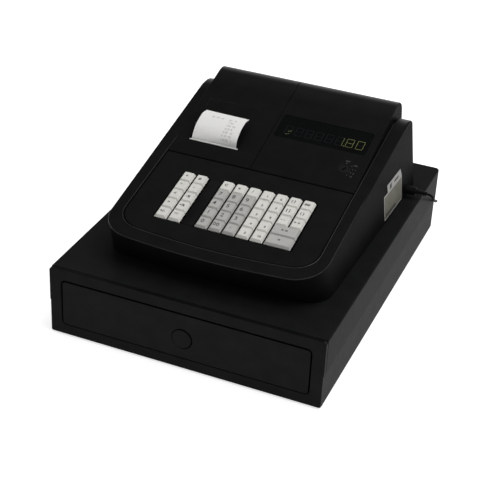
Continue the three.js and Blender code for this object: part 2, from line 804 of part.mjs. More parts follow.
function paperRoll() {
  const roll = rodAcross(0, paper_width, 0, 0, roll_radius);
  return roll.subtract(rodAcross(-overrun, paper_width + overrun, 0, 0, roll_core_radius));
}

// Power plug: pin in the case wall, round body and a ribbed boot, turned about its axis
function powerPlug() {
  const points = [
    new THREE.Vector2(0, -plug_pin_length),
    new THREE.Vector2(plug_pin_radius, -plug_pin_length),
    new THREE.Vector2(plug_pin_radius, 0),
    new THREE.Vector2(plug_body_radius, 0),
    new THREE.Vector2(plug_body_radius, plug_body_length),
  ];
  const rib = plug_boot_length / (plug_boot_ribs * 2 + 1);
  const slim = (along) => plug_boot_radius - (plug_boot_radius - cord_diameter / 2 - rib_depth * 2)
    * along / plug_boot_length;
  for (let i = 0; i <= plug_boot_ribs * 2; i += 1) {
    const radius = slim(i * rib) - (i % 2) * rib_depth;
    points.push(new THREE.Vector2(radius, plug_body_length + i * rib));
    points.push(new THREE.Vector2(radius, plug_body_length + (i + 1) * rib));
  }
  points.push(new THREE.Vector2(0, plug_body_length + plug_boot_length));
  const geometry = new THREE.LatheGeometry(points, round_steps / 2);
  geometry.rotateZ(-quarter_turn);
  return solid(geometry);
}

// A round tube along a smooth route
function tube(curve, diameter, steps, sides) {
  const section = new THREE.Shape();
  for (let i = 0; i < sides; i += 1) {
    const turn = (i / sides) * Math.PI * 2;
    const x = Math.cos(turn) * diameter / 2;
    const y = Math.sin(turn) * diameter / 2;
    if (i === 0) section.moveTo(x, y);
    else section.lineTo(x, y);
  }
  return new THREE.ExtrudeGeometry(section, { steps, bevelEnabled: false, extrudePath: curve });
}

// Route of the free lead, from the plug's boot round the cabinet's rear edge to the coil
const cord_points = [
  [174, 122, 98],
  [175.8, 122, 97.9],
  [178.7, 122.3, 97],
  [181, 123.3, 94.6],
  [181.9, 125.9, 91.4],
  [181.6, 131, 87.4],
  [180.6, 139, 81.8],
  [178.6, 152, 74],
  [175.4, 168, 65],
  [172.2, 184, 56],
  [169.5, 199, 47.8],
  [167.7, 211, 41.8],
  [164.6, 220.1, 37],
  [157, 225.8, 31.4],
  [147.4, 228.6, 24],
  [137.4, 230.4, 15.8],
  [127.4, 233, 8.6],
  [117.4, 237.6, 3.6],
  [108.4, 242.3, 1.6],
  [99.3, 244.25, 1.5],
];
const cord_steps = 78;
const cord_sides = 8;

function cordTube() {
  const route = cord_points.map(([x, y, z]) => new THREE.Vector3(x, y, z));
  return solid(tube(new THREE.CatmullRomCurve3(route), cord_diameter, cord_steps, cord_sides));
}

// Coil of spare lead: spirals in on the floor, climbs half a turn, spirals out on top of itself
const coil_pitch = cord_diameter + coil_spacing;
const coil_entry_radius = coil_mid_diameter / 2 + coil_pitch * coil_turns_inward / 2;
const coil_turns = coil_turns_inward + coil_turns_climbing + coil_turns_outward;
const coil_reversal = coil_turns_inward + coil_turns_climbing / 2;
const coil_exit_radius = coil_entry_radius + coil_pitch * (coil_turns - coil_reversal * 2);
const coil_low = cord_diameter / 2;
const coil_high = coil_low + coil_pitch;
const coil_sides = 6;
const coil_steps_per_turn = 24;

class CoilCurve extends THREE.Curve {
  getPoint(share, target = new THREE.Vector3()) {
    const lead = cord_diameter;
    const wound = coil_turns * Math.PI * coil_mid_diameter;
    const run = share * (lead + wound + coil_tail);
    if (run < lead) {
      return target.set(lead - run, -coil_entry_radius, coil_low);
    }
    if (run > lead + wound) {
      return target.set(lead + wound - run, -coil_exit_radius, coil_high);
    }
    const turns = (run - lead) / wound * coil_turns;
    const climb = THREE.MathUtils.clamp((turns - coil_turns_inward) / coil_turns_climbing, 0, 1);
    const out = Math.max(turns - coil_reversal, 0);
    const inward = Math.min(turns, coil_reversal);
    const radius = coil_entry_radius - coil_pitch * (inward - out);
    const angle = -quarter_turn - turns * Math.PI * 2;
    return target.set(radius * Math.cos(angle), radius * Math.sin(angle),
      coil_low + (coil_high - coil_low) * (1 - Math.cos(climb * Math.PI)) / 2);
  }
}

function coilTube() {
  const steps = Math.round(coil_turns * coil_steps_per_turn);
  const curve = new CoilCurve();
  curve.arcLengthDivisions = steps * coil_sides;
  return solid(tube(curve, cord_diameter, steps, coil_sides));
}

// Power adaptor: rounded body, cable gland low on one end and two round pins
function powerAdaptor() {
  const body = extrudeUp(roundedRectangle(0, -adaptor_width / 2, adaptor_length, adaptor_width / 2,
    adaptor_corner), 0, adaptor_height, small_corner_steps);
  let whole = body.add(rodAcross(adaptor_length - adaptor_corner, adaptor_length + adaptor_gland_length,
    0, coil_high, adaptor_gland_radius, round_steps / 2));
  [-1, 1].forEach((side) => {
    const pin = new THREE.CylinderGeometry(adaptor_pin_radius, adaptor_pin_radius,
      adaptor_pin_length + adaptor_corner, round_steps / 2);
    pin.translate(adaptor_length / 2 + side * adaptor_pin_spacing / 2,
      adaptor_width / 2 + (adaptor_pin_length - adaptor_corner) / 2, adaptor_height / 2);
    whole = whole.add(solid(pin));
  });
  return whole;
}

const flat = (colour, roughness, metalness = 0) => (
  new THREE.MeshStandardMaterial({ color: colour, roughness, metalness, flatShading: true }));

const finishes = {
  case_black: () => flat(0x161617, 0.62),
  panel_black: () => flat(0x131314, 0.55),
  drawer_black: () => flat(0x151516, 0.66),
  till_grey: () => flat(0x2a2b2d, 0.6),
  pan_black: () => flat(0x101011, 0.7),
  window: () => flat(0x070a09, 0.12),
  switch_metal: () => flat(0x3a3a3c, 0.4, 0.6),
  key_ivory: () => flat(0xcfcdc4, 0.5),
  key_grey: () => flat(0x9b9b98, 0.5),
  paper: () => flat(0xf4f4f1, 0.85),
  rubber: () => flat(0x0d0d0e, 0.7),
};

function part(name, manifold, material) {
  const mesh = new THREE.Mesh(geometryOf(manifold), material);
  mesh.name = name;
  return mesh;
}

const model = new THREE.Group();

const cabinet = new THREE.Group();
cabinet.position.set(0, -case_front_step, 0);
cabinet.add(part("cabinet_base", cabinetBase(), finishes.drawer_black()));
cabinet.add(part("cabinet_cover", cabinetCover(), finishes.drawer_black()));
cabinet.add(part("drawer", drawerMoulding(), finishes.drawer_black()));
cabinet.add(part("till_insert", tillInsert(), finishes.till_grey()));
model.add(cabinet);

const register = new THREE.Group();
register.position.set(register_shift, -case_front_step, cabinet_top);
register.add(part("upper_case", upperCase(), finishes.case_black()));
register.add(part("base_pan", basePan(), finishes.pan_black()));
register.add(part("printer_cover", printerCover(), finishes.case_black()));
register.add(part("display_cover", displayCover(), finishes.case_black()));

const roll = part("paper_roll", paperRoll(), finishes.paper());
roll.position.set(paper_left, roll_y, roll_height);
register.add(roll);

const plug = part("power_plug", powerPlug(), finishes.rubber());
const plug_x = caseHalf(socket_y + plug_body_radius, socket_height - plug_body_radius) + plug_seat;
plug.position.set(plug_x, socket_y, socket_height);
register.add(plug);

const keyboard = new THREE.Group();
keyboard.position.set(0, seam_y, seam_height);
keyboard.rotation.x = keyboard_tilt;
keyboard.add(part("keyboard_panel", keyboardPanel(), finishes.panel_black()));
const cap = geometryOf(keyCap(key_width));
const wide_cap = geometryOf(keyCap(key_width + key_pitch));
keys.forEach(({ name, wide, grey, x, s }) => {
  const mesh = new THREE.Mesh(wide ? wide_cap : cap, grey ? finishes.key_grey() : finishes.key_ivory());
  mesh.name = `key_${name}`;
  mesh.position.set(x, s, 0);
  keyboard.add(mesh);
});
register.add(keyboard);

const hood = new THREE.Group();
hood.position.set(0, seam_y, seam_height);
hood.rotation.x = hood_tilt;
hood.add(part("display_window", displayWindow(), finishes.window()));
hood.add(part("receipt", receipt(), finishes.paper()));
const rotor = part("mode_switch", modeSwitch(), finishes.switch_metal());
rotor.position.set(switch_x, switch_s, 0);
rotor.rotation.z = switch_rest_turn;
hood.add(rotor);
register.add(hood);
model.add(register);

model.add(part("power_cord", cordTube(), finishes.rubber()));

const coil = part("cord_coil", coilTube(), finishes.rubber());
coil.position.set(coil_centre_x, coil_centre_y, 0);
model.add(coil);

const adaptor = part("power_adaptor", powerAdaptor(), finishes.rubber());
adaptor.position.set(
  coil_centre_x - coil_tail - seat_gap - adaptor_gland_length - adaptor_length,
  coil_centre_y - coil_exit_radius, 0);
model.add(adaptor);

export default model;
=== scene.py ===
import json
import math

import bmesh
import bpy
from mathutils import Matrix, Vector


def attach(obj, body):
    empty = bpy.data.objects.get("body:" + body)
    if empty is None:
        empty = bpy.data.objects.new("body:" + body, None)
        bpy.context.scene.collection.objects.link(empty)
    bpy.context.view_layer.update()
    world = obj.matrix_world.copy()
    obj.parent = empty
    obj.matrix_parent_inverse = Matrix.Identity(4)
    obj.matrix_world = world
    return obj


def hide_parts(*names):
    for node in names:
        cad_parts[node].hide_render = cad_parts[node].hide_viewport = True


# Electronic cash register on its drawer cabinet. Working lengths below are in millimetres, and in
# metres where a name ends in _m.
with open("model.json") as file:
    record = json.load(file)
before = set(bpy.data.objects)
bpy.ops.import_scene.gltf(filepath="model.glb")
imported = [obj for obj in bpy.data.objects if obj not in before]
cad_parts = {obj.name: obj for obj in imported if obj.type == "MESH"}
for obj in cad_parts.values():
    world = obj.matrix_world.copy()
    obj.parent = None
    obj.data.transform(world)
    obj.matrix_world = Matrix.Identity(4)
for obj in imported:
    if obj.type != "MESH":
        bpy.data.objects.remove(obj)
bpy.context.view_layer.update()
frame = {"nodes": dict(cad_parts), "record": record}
MM = 0.001
scene = bpy.context.scene

# Places of the register, its keyboard slope and its hood slope in the cabinet's frame
register_place = (6, -218, 87)
seam_place = (0, 193, 71.7)
keyboard_slope = math.radians(11.72)
hood_slope = math.radians(16.99)
register = Matrix.Translation(register_place)
seam = register @ Matrix.Translation(seam_place)
keyboard = seam @ Matrix.Rotation(keyboard_slope, 4, "X")
hood = seam @ Matrix.Rotation(hood_slope, 4, "X")

# Camera: the photograph's own
azimuth = math.radians(22.60)
elevation = math.radians(29.68)
roll = math.radians(2.28)
camera_place_m = (0.4891, -1.3028, 0.8867)
sensor_width = 36
focal_length = 95.52
shift_across, shift_up = 0.0626, -0.086
sight_m = 60
back = Vector((math.sin(azimuth) * math.cos(elevation),
               -math.cos(azimuth) * math.cos(elevation), math.sin(elevation)))
level = Vector((math.cos(azimuth), math.sin(azimuth), 0))
upright = back.cross(level)
right = level * math.cos(roll) + upright * math.sin(roll)
up = upright * math.cos(roll) - level * math.sin(roll)
lens = bpy.data.cameras.new("camera")
lens.sensor_width = sensor_width
lens.sensor_fit = "HORIZONTAL"
lens.lens = focal_length
lens.shift_x = shift_across
lens.shift_y = shift_up
lens.clip_end = sight_m
camera = bpy.data.objects.new("camera", lens)
camera.matrix_world = Matrix.Translation(camera_place_m) @ Matrix((right, up, back)).transposed().to_4x4()
scene.collection.objects.link(camera)
scene.camera = camera


# Materials
cloud_size, patch_size = 22, 9
gloss_change = 0.05
relief_share = 0.2


def node_material(name):
    material = bpy.data.materials.new(name)
    material.use_nodes = True
    tree = material.node_tree
    shader = tree.nodes["Principled BSDF"]
    return material, tree, shader


def noise(tree, size, detail=2.0, roughness=0.5):
    place = tree.nodes.new("ShaderNodeTexCoord")
    grain = tree.nodes.new("ShaderNodeTexNoise")
    grain.inputs["Scale"].default_value = 1 / (size * MM)
    grain.inputs["Detail"].default_value = detail
    grain.inputs["Roughness"].default_value = roughness
    tree.links.new(place.outputs["Object"], grain.inputs["Vector"])
    return grain


def ramp(tree, source, low, high, start=0.3, end=0.7):
    blend = tree.nodes.new("ShaderNodeValToRGB")
    blend.color_ramp.elements[0].position = start
    blend.color_ramp.elements[1].position = end
    blend.color_ramp.elements[0].color = (*low, 1)
    blend.color_ramp.elements[1].color = (*high, 1)
    tree.links.new(source.outputs["Fac"], blend.inputs["Fac"])
    return blend


def moulded(name, colour, roughness, grain=0.5, relief=0.25, ior=1.3, mottle=0.12):
    """Moulded plastic: a fine spark-eroded grain, faint cloudy colour and patchy gloss."""
    material, tree, shader = node_material(name)
    cloud = noise(tree, cloud_size, detail=3)
    low = [c * (1 - mottle) for c in colour]
    high = [c * (1 + mottle) for c in colour]
    tint = ramp(tree, cloud, low, high)
    tree.links.new(tint.outputs["Color"], shader.inputs["Base Color"])
    patch = noise(tree, patch_size, detail=4, roughness=0.6)
    gloss = tree.nodes.new("ShaderNodeMapRange")
    gloss.inputs["To Min"].default_value = roughness - gloss_change
    gloss.inputs["To Max"].default_value = roughness + gloss_change
    tree.links.new(patch.outputs["Fac"], gloss.inputs["Value"])
    tree.links.new(gloss.outputs["Result"], shader.inputs["Roughness"])
    if relief:
        fine = noise(tree, grain, detail=2)
        bump = tree.nodes.new("ShaderNodeBump")
        bump.inputs["Strength"].default_value = relief
        bump.inputs["Distance"].default_value = grain * MM * relief_share
        tree.links.new(fine.outputs["Fac"], bump.inputs["Height"])
        tree.links.new(bump.outputs["Normal"], shader.inputs["Normal"])
    shader.inputs["IOR"].default_value = ior
    return material


cabinet_black = moulded("cabinet_black", (0.0092, 0.0096, 0.0096), 0.45, ior=1.070)
# The lower cabinet with its front frame takes a lighter copy of the cabinet's black: painted light that
# makes up for the weak lamp light on the front
cabinet_front_lightened = moulded("cabinet_front_lightened", (0.0148, 0.0150, 0.0152), 0.45, ior=1.078)
drawer_black = moulded("drawer_black", (0.0165, 0.0167, 0.0170), 0.45, ior=1.078)
case_black = moulded("case_black", (0.0070, 0.0071, 0.0070), 0.42, ior=1.035)
case_edge = moulded("case_edge", (0.0075, 0.0076, 0.0075), 0.36, ior=1.07)
bead_black = moulded("bead_black", (0.0080, 0.0081, 0.0080), 0.26, ior=1.48)
recess_edge = moulded("recess_edge", (0.0080, 0.0081, 0.0080), 0.34, ior=1.22)
# Near-black for the painted shadow in the gap round the keyboard panel
gap_shadow_black = moulded("gap_shadow_black", (0.0028, 0.0028, 0.0028), 0.6, ior=1.03)
panel_black = moulded("panel_black", (0.0070, 0.0071, 0.0070), 0.45, ior=1.09)
inner_black = moulded("inner_black", (0.004, 0.004, 0.0042), 0.6, ior=1.1)
till_grey = moulded("till_grey", (0.028, 0.028, 0.030), 0.5)
key_ivory = moulded("key_ivory", (0.665, 0.66, 0.622), 0.42, grain=0.3, relief=0.12, ior=1.35, mottle=0.03)
key_grey = moulded("key_grey", (0.42, 0.417, 0.402), 0.42, grain=0.3, relief=0.12, ior=1.35, mottle=0.03)
legend_ink = moulded("legend_ink", (0.055, 0.055, 0.057), 0.6, grain=0.3, relief=0.05, ior=1.2, mottle=0.1)
mark_grey = moulded("mark_grey", (0.11, 0.11, 0.11), 0.6, grain=0.3, relief=0.05, ior=1.2, mottle=0.1)
print_grey = moulded("print_grey", (0.22, 0.22, 0.22), 0.7, relief=0.0, ior=1.2, mottle=0.1)
switch_dark = moulded("switch_dark", (0.0080, 0.0080, 0.0082), 0.40, grain=0.2, relief=0.1, ior=1.17)
rubber_black = moulded("rubber_black", (0.004, 0.004, 0.0044), 0.55, grain=0.3, relief=0.2, ior=1.15)
sticker_white = moulded("sticker_white", (0.36, 0.36, 0.352), 0.5, relief=0.0, ior=1.2, mottle=0.03)
sticker_beige = moulded("sticker_beige", (0.15, 0.146, 0.118), 0.5, relief=0.0, ior=1.15, mottle=0.15)
sticker_grey = moulded("sticker_grey", (0.06, 0.058, 0.05), 0.5, relief=0.0, ior=1.15, mottle=0.1)
strip_clear = moulded("strip_clear", (0.62, 0.62, 0.60), 0.35, relief=0.0, ior=1.35, mottle=0.03)
window_smoke = moulded("window_smoke", (0.0030, 0.0038, 0.0036), 0.10, relief=0.0, ior=1.10, mottle=0.1)
segment_off = moulded("segment_off", (0.0115, 0.0110, 0.0135), 0.5, relief=0.0, ior=1.15, mottle=0.05)


def spread(tree, source, axis, span, values):
    """A number that runs over values while one axis of a vector runs over span."""
    axes = tree.nodes.new("ShaderNodeSeparateXYZ")
    tree.links.new(source, axes.inputs["Vector"])
    node = tree.nodes.new("ShaderNodeMapRange")
    for slot, value in zip(("From Min", "From Max", "To Min", "To Max"), (*span, *values)):
        node.inputs[slot].default_value = value
    tree.links.new(axes.outputs[axis], node.inputs["Value"])
    return node.outputs["Result"]


def mix(tree, operation, first, second):
    node = tree.nodes.new("ShaderNodeMath")
    node.operation = operation
    tree.links.new(first, node.inputs[0])
    tree.links.new(second, node.inputs[1])
    return node.outputs[0]


def coated(material, weight, ior=1.5, roughness=0.42):
    """A clear coat over the plain plastic, as strong as weight says."""
    shader = material.node_tree.nodes["Principled BSDF"]
    shader.inputs["Coat IOR"].default_value = ior
    shader.inputs["Coat Roughness"].default_value = roughness
    material.node_tree.links.new(weight, shader.inputs["Coat Weight"])


def painted_sheen_by_side(material, flat, sides, rolled):
    """Painted sheen: a clear coat that fades toward faces to the front and the right, and a painted
    highlight on the roll to the rear, set by the way each face turns and where it stands.
    """
    tree = material.node_tree
    normal = tree.nodes.new("ShaderNodeNewGeometry").outputs["Normal"]
    spot = tree.nodes.new("ShaderNodeTexCoord").outputs["Object"]
    off_front, to_right = (-0.85, -0.25), (0.25, 0.9)
    off_slope, facing_up, behind_window_m = (-0.36, -0.02), (0.5, 0.9), (0.100, 0.130)
    faint = mix(tree, "MULTIPLY", spread(tree, normal, "Y", off_front, (0, flat)),
                spread(tree, normal, "X", to_right, (1, sides)))
    roll_highlight = mix(tree, "MULTIPLY", spread(tree, normal, "Y", off_slope, (0, rolled)),
                 spread(tree, normal, "Z", facing_up, (0, 1)))
    roll_highlight = mix(tree, "MULTIPLY", roll_highlight, spread(tree, spot, "Y", behind_window_m, (0, 1)))
    coated(material, mix(tree, "ADD", faint, roll_highlight))


def painted_highlight_in_front(material, highlight_weight):
    """Painted highlight: a clear coat on the rounded rim along the front, none to the right and from the
    hood on.
    """
    tree = material.node_tree
    normal = tree.nodes.new("ShaderNodeNewGeometry").outputs["Normal"]
    spot = tree.nodes.new("ShaderNodeTexCoord").outputs["Object"]
    before_hood_m, to_right = (-0.050, -0.015), (0.30, 0.62)
    coated(material, mix(tree, "MULTIPLY", spread(tree, spot, "Y", before_hood_m, (highlight_weight, 0)),
                         spread(tree, normal, "X", to_right, (1, 0))))


# Painted sheen and highlights on the case: the coat follows which way a face turns and where it stands, not
# a finish of the plastic
painted_sheen_by_side(case_black, flat=0.045, sides=0.45, rolled=0.9)
painted_highlight_in_front(case_edge, highlight_weight=0.50)


def paper_material():
    material, tree, shader = node_material("thermal_paper")
    fibre = noise(tree, size=1.4, detail=5, roughness=0.65)
    tint = ramp(tree, fibre, (0.755, 0.75, 0.738), (0.825, 0.82, 0.808))
    tree.links.new(tint.outputs["Color"], shader.inputs["Base Color"])
    bump = tree.nodes.new("ShaderNodeBump")
    bump.inputs["Strength"].default_value = 0.1
    bump.inputs["Distance"].default_value = 0.05 * MM
    tree.links.new(fibre.outputs["Fac"], bump.inputs["Height"])
    tree.links.new(bump.outputs["Normal"], shader.inputs["Normal"])
    shader.inputs["Roughness"].default_value = 0.7
    shader.inputs["Specular IOR Level"].default_value = 0.25
    return material


def lit_material():
    material, tree, shader = node_material("segment_lit")
    flicker = noise(tree, size=2.0, detail=2)
    tint = ramp(tree, flicker, (0.105, 0.122, 0.030), (0.135, 0.155, 0.042))
    tree.links.new(tint.outputs["Color"], shader.inputs["Base Color"])
    tree.links.new(tint.outputs["Color"], shader.inputs["Emission Color"])
    shader.inputs["Emission Strength"].default_value = 0.12
    shader.inputs["Roughness"].default_value = 0.4
    return material


paper = paper_material()
segment_lit = lit_material()


# Mesh helpers
def add_mesh(name, vertices, faces, place, material, body, smooth=True, sharp=40):
    mesh = bpy.data.meshes.new(name)
    mesh.from_pydata([MM * (place @ Vector(v)) for v in vertices], [], faces)
    mesh.materials.append(material)
    piece = bpy.data.objects.new(name, mesh)
    scene.collection.objects.link(piece)
    if smooth:
        mesh.shade_smooth()
        mesh.set_sharp_from_angle(angle=math.radians(sharp))
    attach(piece, body)
    return piece


def ring_stack(rings, cap_low=True, cap_high=True):
    """Joins equal rings of points, first to last, into one skin."""
    count = len(rings[0])
    vertices = [point for ring in rings for point in ring]
    faces = []
    for level_index in range(len(rings) - 1):
        base = level_index * count
        for i in range(count):
            j = (i + 1) % count
            faces.append((base + i, base + j, base + count + j, base + count + i))
    if cap_low:
        faces.append(tuple(reversed(range(count))))
    if cap_high:
        top = (len(rings) - 1) * count
        faces.append(tuple(top + i for i in range(count)))
    return vertices, faces


def rounded_ring(x0, y0, x1, y1, radius, z, steps=5):
    points = []
    centres = ((x1 - radius, y0 + radius, -90), (x1 - radius, y1 - radius, 0),
               (x0 + radius, y1 - radius, 90), (x0 + radius, y0 + radius, 180))
    for cx, cy, start in centres:
        for i in range(steps):
            turn = math.radians(start + 90 * i / (steps - 1))
            points.append((cx + radius * math.cos(turn), cy + radius * math.sin(turn), z))
    return points


def round_ring(cx, cy, radius, z, steps=48):
    return [(cx + radius * math.cos(2 * math.pi * i / steps),
             cy + radius * math.sin(2 * math.pi * i / steps), z) for i in range(steps)]


# Rounded copies of the solids' shells: a bevel on each edge that turns more than sharp_turn, narrower
# where a neighbour leaves less room
weld_m = 2e-6
flat_turn, sharp_turn = math.radians(0.3), math.radians(24)
many_corners = 60
nearly_straight = 0.8
least_lean = 0.2
room_share = 0.45


def edge_middle(edge):
    return (edge.verts[0].co + edge.verts[1].co) / 2 / MM


def goes_on(run, side):
    """Whether the edge that leaves along side carries on the line of the edge that leaves along run."""
    return run.dot(side) < -nearly_straight


def edge_room(edge):
    """Widest bevel for an edge that its neighbours at both ends leave room for."""
    room = 1.0
    for vertex in edge.verts:
        run = (edge.other_vert(vertex).co - vertex.co).normalized()
        for other in vertex.link_edges:
            if other == edge:
                continue
            side = (other.other_vert(vertex).co - vertex.co).normalized()
            lean = math.sqrt(max(1 - run.dot(side) ** 2, 0))
            if lean > least_lean and not goes_on(run, side):
                room = min(room, other.calc_length() * lean * room_share)
    return room / MM


def bevel_sizes(bm, width, wider):
    """One bevel width for each line of sharp edges: the one asked for, or less where room is short."""
    sharp = [edge for edge in bm.edges
             if len(edge.link_faces) == 2 and edge.calc_face_angle() > sharp_turn]
    line = {edge: edge for edge in sharp}

    def first(edge):
        while line[edge] != edge:
            edge = line[edge]
        return edge

    asked = {edge: max([width] + [size for test, size in wider or () if test(edge)]) for edge in sharp}
    for vertex in bm.verts:
        here = [edge for edge in vertex.link_edges if edge in line]
        for i, edge in enumerate(here):
            run = (edge.other_vert(vertex).co - vertex.co).normalized()
            for other in here[:i]:
                side = (other.other_vert(vertex).co - vertex.co).normalized()
                if goes_on(run, side) and asked[edge] == asked[other]:
                    line[first(edge)] = first(other)
    room = {}
    for edge in sharp:
        head = first(edge)
        room[head] = min(room.get(head, math.inf), edge_room(edge))
    return {edge: min(asked[edge], room[first(edge)]) for edge in sharp}


def joined_facets(node):
    """The mesh of a CAD shell with its coplanar facets joined."""
    bm = bmesh.new()
    bm.from_mesh(frame["nodes"][node].data)
    bmesh.ops.remove_doubles(bm, verts=bm.verts, dist=weld_m)
    bmesh.ops.dissolve_limit(bm, angle_limit=flat_turn, verts=bm.verts, edges=bm.edges,
                             use_dissolve_boundaries=False)
    return bm


def refined(node, name, material, width=0.5, segments=3, wider=None, edge_material=None,
            moved=None, painted_shade=None):
    """A copy of a CAD shell with its edges rounded.

    wider lists tests of an edge with the wider bevel that it gets, moved shifts the corners, and the last
    argument pairs a test of a face with a darker material that it gets instead, as painted shade.
    """
    bm = joined_facets(node)
    bmesh.ops.dissolve_degenerate(bm, edges=bm.edges, dist=weld_m)
    bmesh.ops.connect_verts_concave(bm, faces=[f for f in bm.faces if len(f.verts) > many_corners])
    if moved:
        for vertex in bm.verts:
            vertex.co = MM * moved(vertex.co / MM)
    weights = bm.edges.layers.float.new("bevel_weight_edge")
    sizes = bevel_sizes(bm, width, wider)
    largest = max(sizes.values())
    for edge, bevel_width in sizes.items():
        edge[weights] = bevel_width / largest
    mesh = bpy.data.meshes.new(name)
    bm.to_mesh(mesh)
    bm.free()
    mesh.materials.clear()
    mesh.materials.append(material)
    mesh.materials.append(edge_material or material)
    if painted_shade:
        mesh.materials.append(painted_shade[1])
    for polygon in mesh.polygons:
        polygon.material_index = 2 if painted_shade and painted_shade[0](polygon.center / MM, polygon.normal) else 0
    piece = bpy.data.objects.new(name, mesh)
    scene.collection.objects.link(piece)
    mesh.shade_smooth()
    bevel = piece.modifiers.new("edge", "BEVEL")
    bevel.limit_method = "WEIGHT"
    bevel.width = largest * MM
    bevel.segments = segments
    bevel.use_clamp_overlap = False
    bevel.loop_slide = False
    bevel.material = 1
    normals = piece.modifiers.new("normals", "WEIGHTED_NORMAL")
    normals.weight = 90
    normals.keep_sharp = True
    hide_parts(node)
    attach(piece, node_body(node))
    return piece


def node_body(node):
    for body, nodes in frame["record"]["behaviour"]["bodies"].items():
        if node in nodes:
            return body
    raise ValueError(node)


# Power lead: its route repeats the solids', free stretch first, then the coil behind the cabinet
lead_radius = 1.5
cord_points = [
    (174, 122, 98), (175.8, 122, 97.9), (178.7, 122.3, 97), (181, 123.3, 94.6), (181.9, 125.9, 91.4),
    (181.6, 131, 87.4), (180.6, 139, 81.8), (178.6, 152, 74), (175.4, 168, 65), (172.2, 184, 56),
    (169.5, 199, 47.8), (167.7, 211, 41.8), (164.6, 220.1, 37), (157, 225.8, 31.4), (147.4, 228.6, 24),
    (137.4, 230.4, 15.8), (127.4, 233, 8.6), (117.4, 237.6, 3.6), (108.4, 242.3, 1.6), (99.3, 244.25, 1.5),
]


def centripetal(points, steps):
    """A smooth curve through the points, with steps places to each stretch."""
    points = [Vector(p) for p in points]
    points = [2 * points[0] - points[1]] + points + [2 * points[-1] - points[-2]]
    route = []
    for i in range(1, len(points) - 2):
        p0, p1, p2, p3 = points[i - 1:i + 3]
        t1 = (p1 - p0).length ** 0.5
        t2 = t1 + (p2 - p1).length ** 0.5
        t3 = t2 + (p3 - p2).length ** 0.5
        for k in range(steps):
            t = t1 + (t2 - t1) * k / steps
            a1 = p0.lerp(p1, t / t1)
            a2 = p1.lerp(p2, (t - t1) / (t2 - t1))
            a3 = p2.lerp(p3, (t - t2) / (t3 - t2))
            b1 = a1.lerp(a2, t / t2)
            b2 = a2.lerp(a3, (t - t1) / (t3 - t1))
            route.append(b1.lerp(b2, (t - t1) / (t2 - t1)))
    route.append(points[-2])
    return route


def coil_route():
    """A flat coil that runs inward, climbs one layer and runs out again to the adaptor."""
    pitch, middle, centre = 3.5, 36, Vector((96, 271, 0))
    inward, climbing, outward = 5, 0.5, 5.5
    turns, reversal = inward + climbing + outward, inward + climbing / 2
    steps_per_turn, tail_steps, tail_length, tail_height = 32, 5, 14, 5
    entry = middle / 2 + pitch * inward / 2
    leave = entry + pitch * (turns - 2 * reversal)
    route = []
    count = int(turns * steps_per_turn)
    for i in range(count + 1):
        turn = turns * i / count
        climb = min(max((turn - inward) / climbing, 0), 1)
        radius = entry - pitch * (min(turn, reversal) - max(turn - reversal, 0))
        angle = -math.pi / 2 - turn * 2 * math.pi
        height = lead_radius + pitch * (1 - math.cos(climb * math.pi)) / 2
        route.append(centre + Vector((radius * math.cos(angle), radius * math.sin(angle), height)))
    for step in range(1, tail_steps + 1):
        route.append(centre + Vector((-tail_length * step / tail_steps, -leave, tail_height)))
    return route


def curve_piece(name, route, radius, material, resolution=5):
    data = bpy.data.curves.new(name, "CURVE")
    data.dimensions = "3D"
    data.bevel_depth = radius * MM
    data.bevel_resolution = resolution
    data.use_fill_caps = True
    spline = data.splines.new("POLY")
    spline.points.add(len(route) - 1)
    for point, place in zip(spline.points, route):
        point.co = (*(MM * Vector(place)), 1)
    spline.use_smooth = True
    data.materials.append(material)
    piece = bpy.data.objects.new(name, data)
    scene.collection.objects.link(piece)
    return piece


lead_route = centripetal(cord_points, steps=5) + coil_route()
lead = curve_piece("power_lead", lead_route, lead_radius, rubber_black)
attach(lead, "register")
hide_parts("power_cord", "cord_coil")

# Shells that keep the solids' shape, with rounded edges
opening_half_width, opening_front = 121, -148
plane_slack = 0.4
panel_half_width, panel_half_length, panel_middle = 118, 73, -72


def on_slope(edge, outside):
    """Edges on the plane of the keyboard, either outside the case's opening or round it."""
    local = keyboard.inverted() @ edge_middle(edge)
    beyond = abs(local.x) > opening_half_width or local.y < opening_front
    return beyond == outside and abs(local.z) < plane_slack


def on_rim(edge):
    """Outer edge between the sloping top of the case and its walls."""
    return on_slope(edge, outside=True)


def on_lip(edge):
    """Inner edge of the case's opening, round the keyboard panel."""
    return on_slope(edge, outside=False)


def on_case_back(edge):
    """Side edges of the case's two cheeks on the roll over to the rear."""
    cheek_x, roll_y, wall_z = 116, 100, 120
    middle = edge_middle(edge)
    local = keyboard.inverted() @ middle
    outer = abs(middle.x - register_place[0]) > cheek_x
    return outer and middle.y > roll_y and local.z < -plane_slack and middle.z > wall_z


def on_hood_end(edge):
    """Upper edges of the hood's two outer ends."""
    end_x, slack, lowest, foremost = 117.2, 0.8, -12, 4
    local = hood.inverted() @ edge_middle(edge)
    return abs(abs(local.x) - end_x) < slack and local.z > lowest and local.y > foremost


def on_cover_edge(edge):
    """Top edges of the cabinet's cover, which meet the round corners of the front frame."""
    top_z, frame_y = 86.9, -210
    middle = edge_middle(edge)
    return middle.z > top_z and middle.y > frame_y


def seam_back(point, step=0.45):
    """Sets the front edge of the hood's covers back a little, for the dark seam."""
    behind_seam = 194
    local = register.inverted() @ point
    return register @ Vector((local.x, local.y + step, local.z)) if local.y < behind_seam else point


def printer_cover_shape(point):
    """The left cover reaches nearly to the case's cheek."""
    end_x, reach = -116.6, 1.1
    local = register.inverted() @ point
    if local.x < end_x:
        local.x -= reach
    return seam_back(register @ local)


def shifted(value, moves, slack=0.05):
    """The value moved by the step of the line that it lies on, or None away from all lines."""
    for line, step in moves:
        if abs(value - line) < slack:
            return value + step
    return None


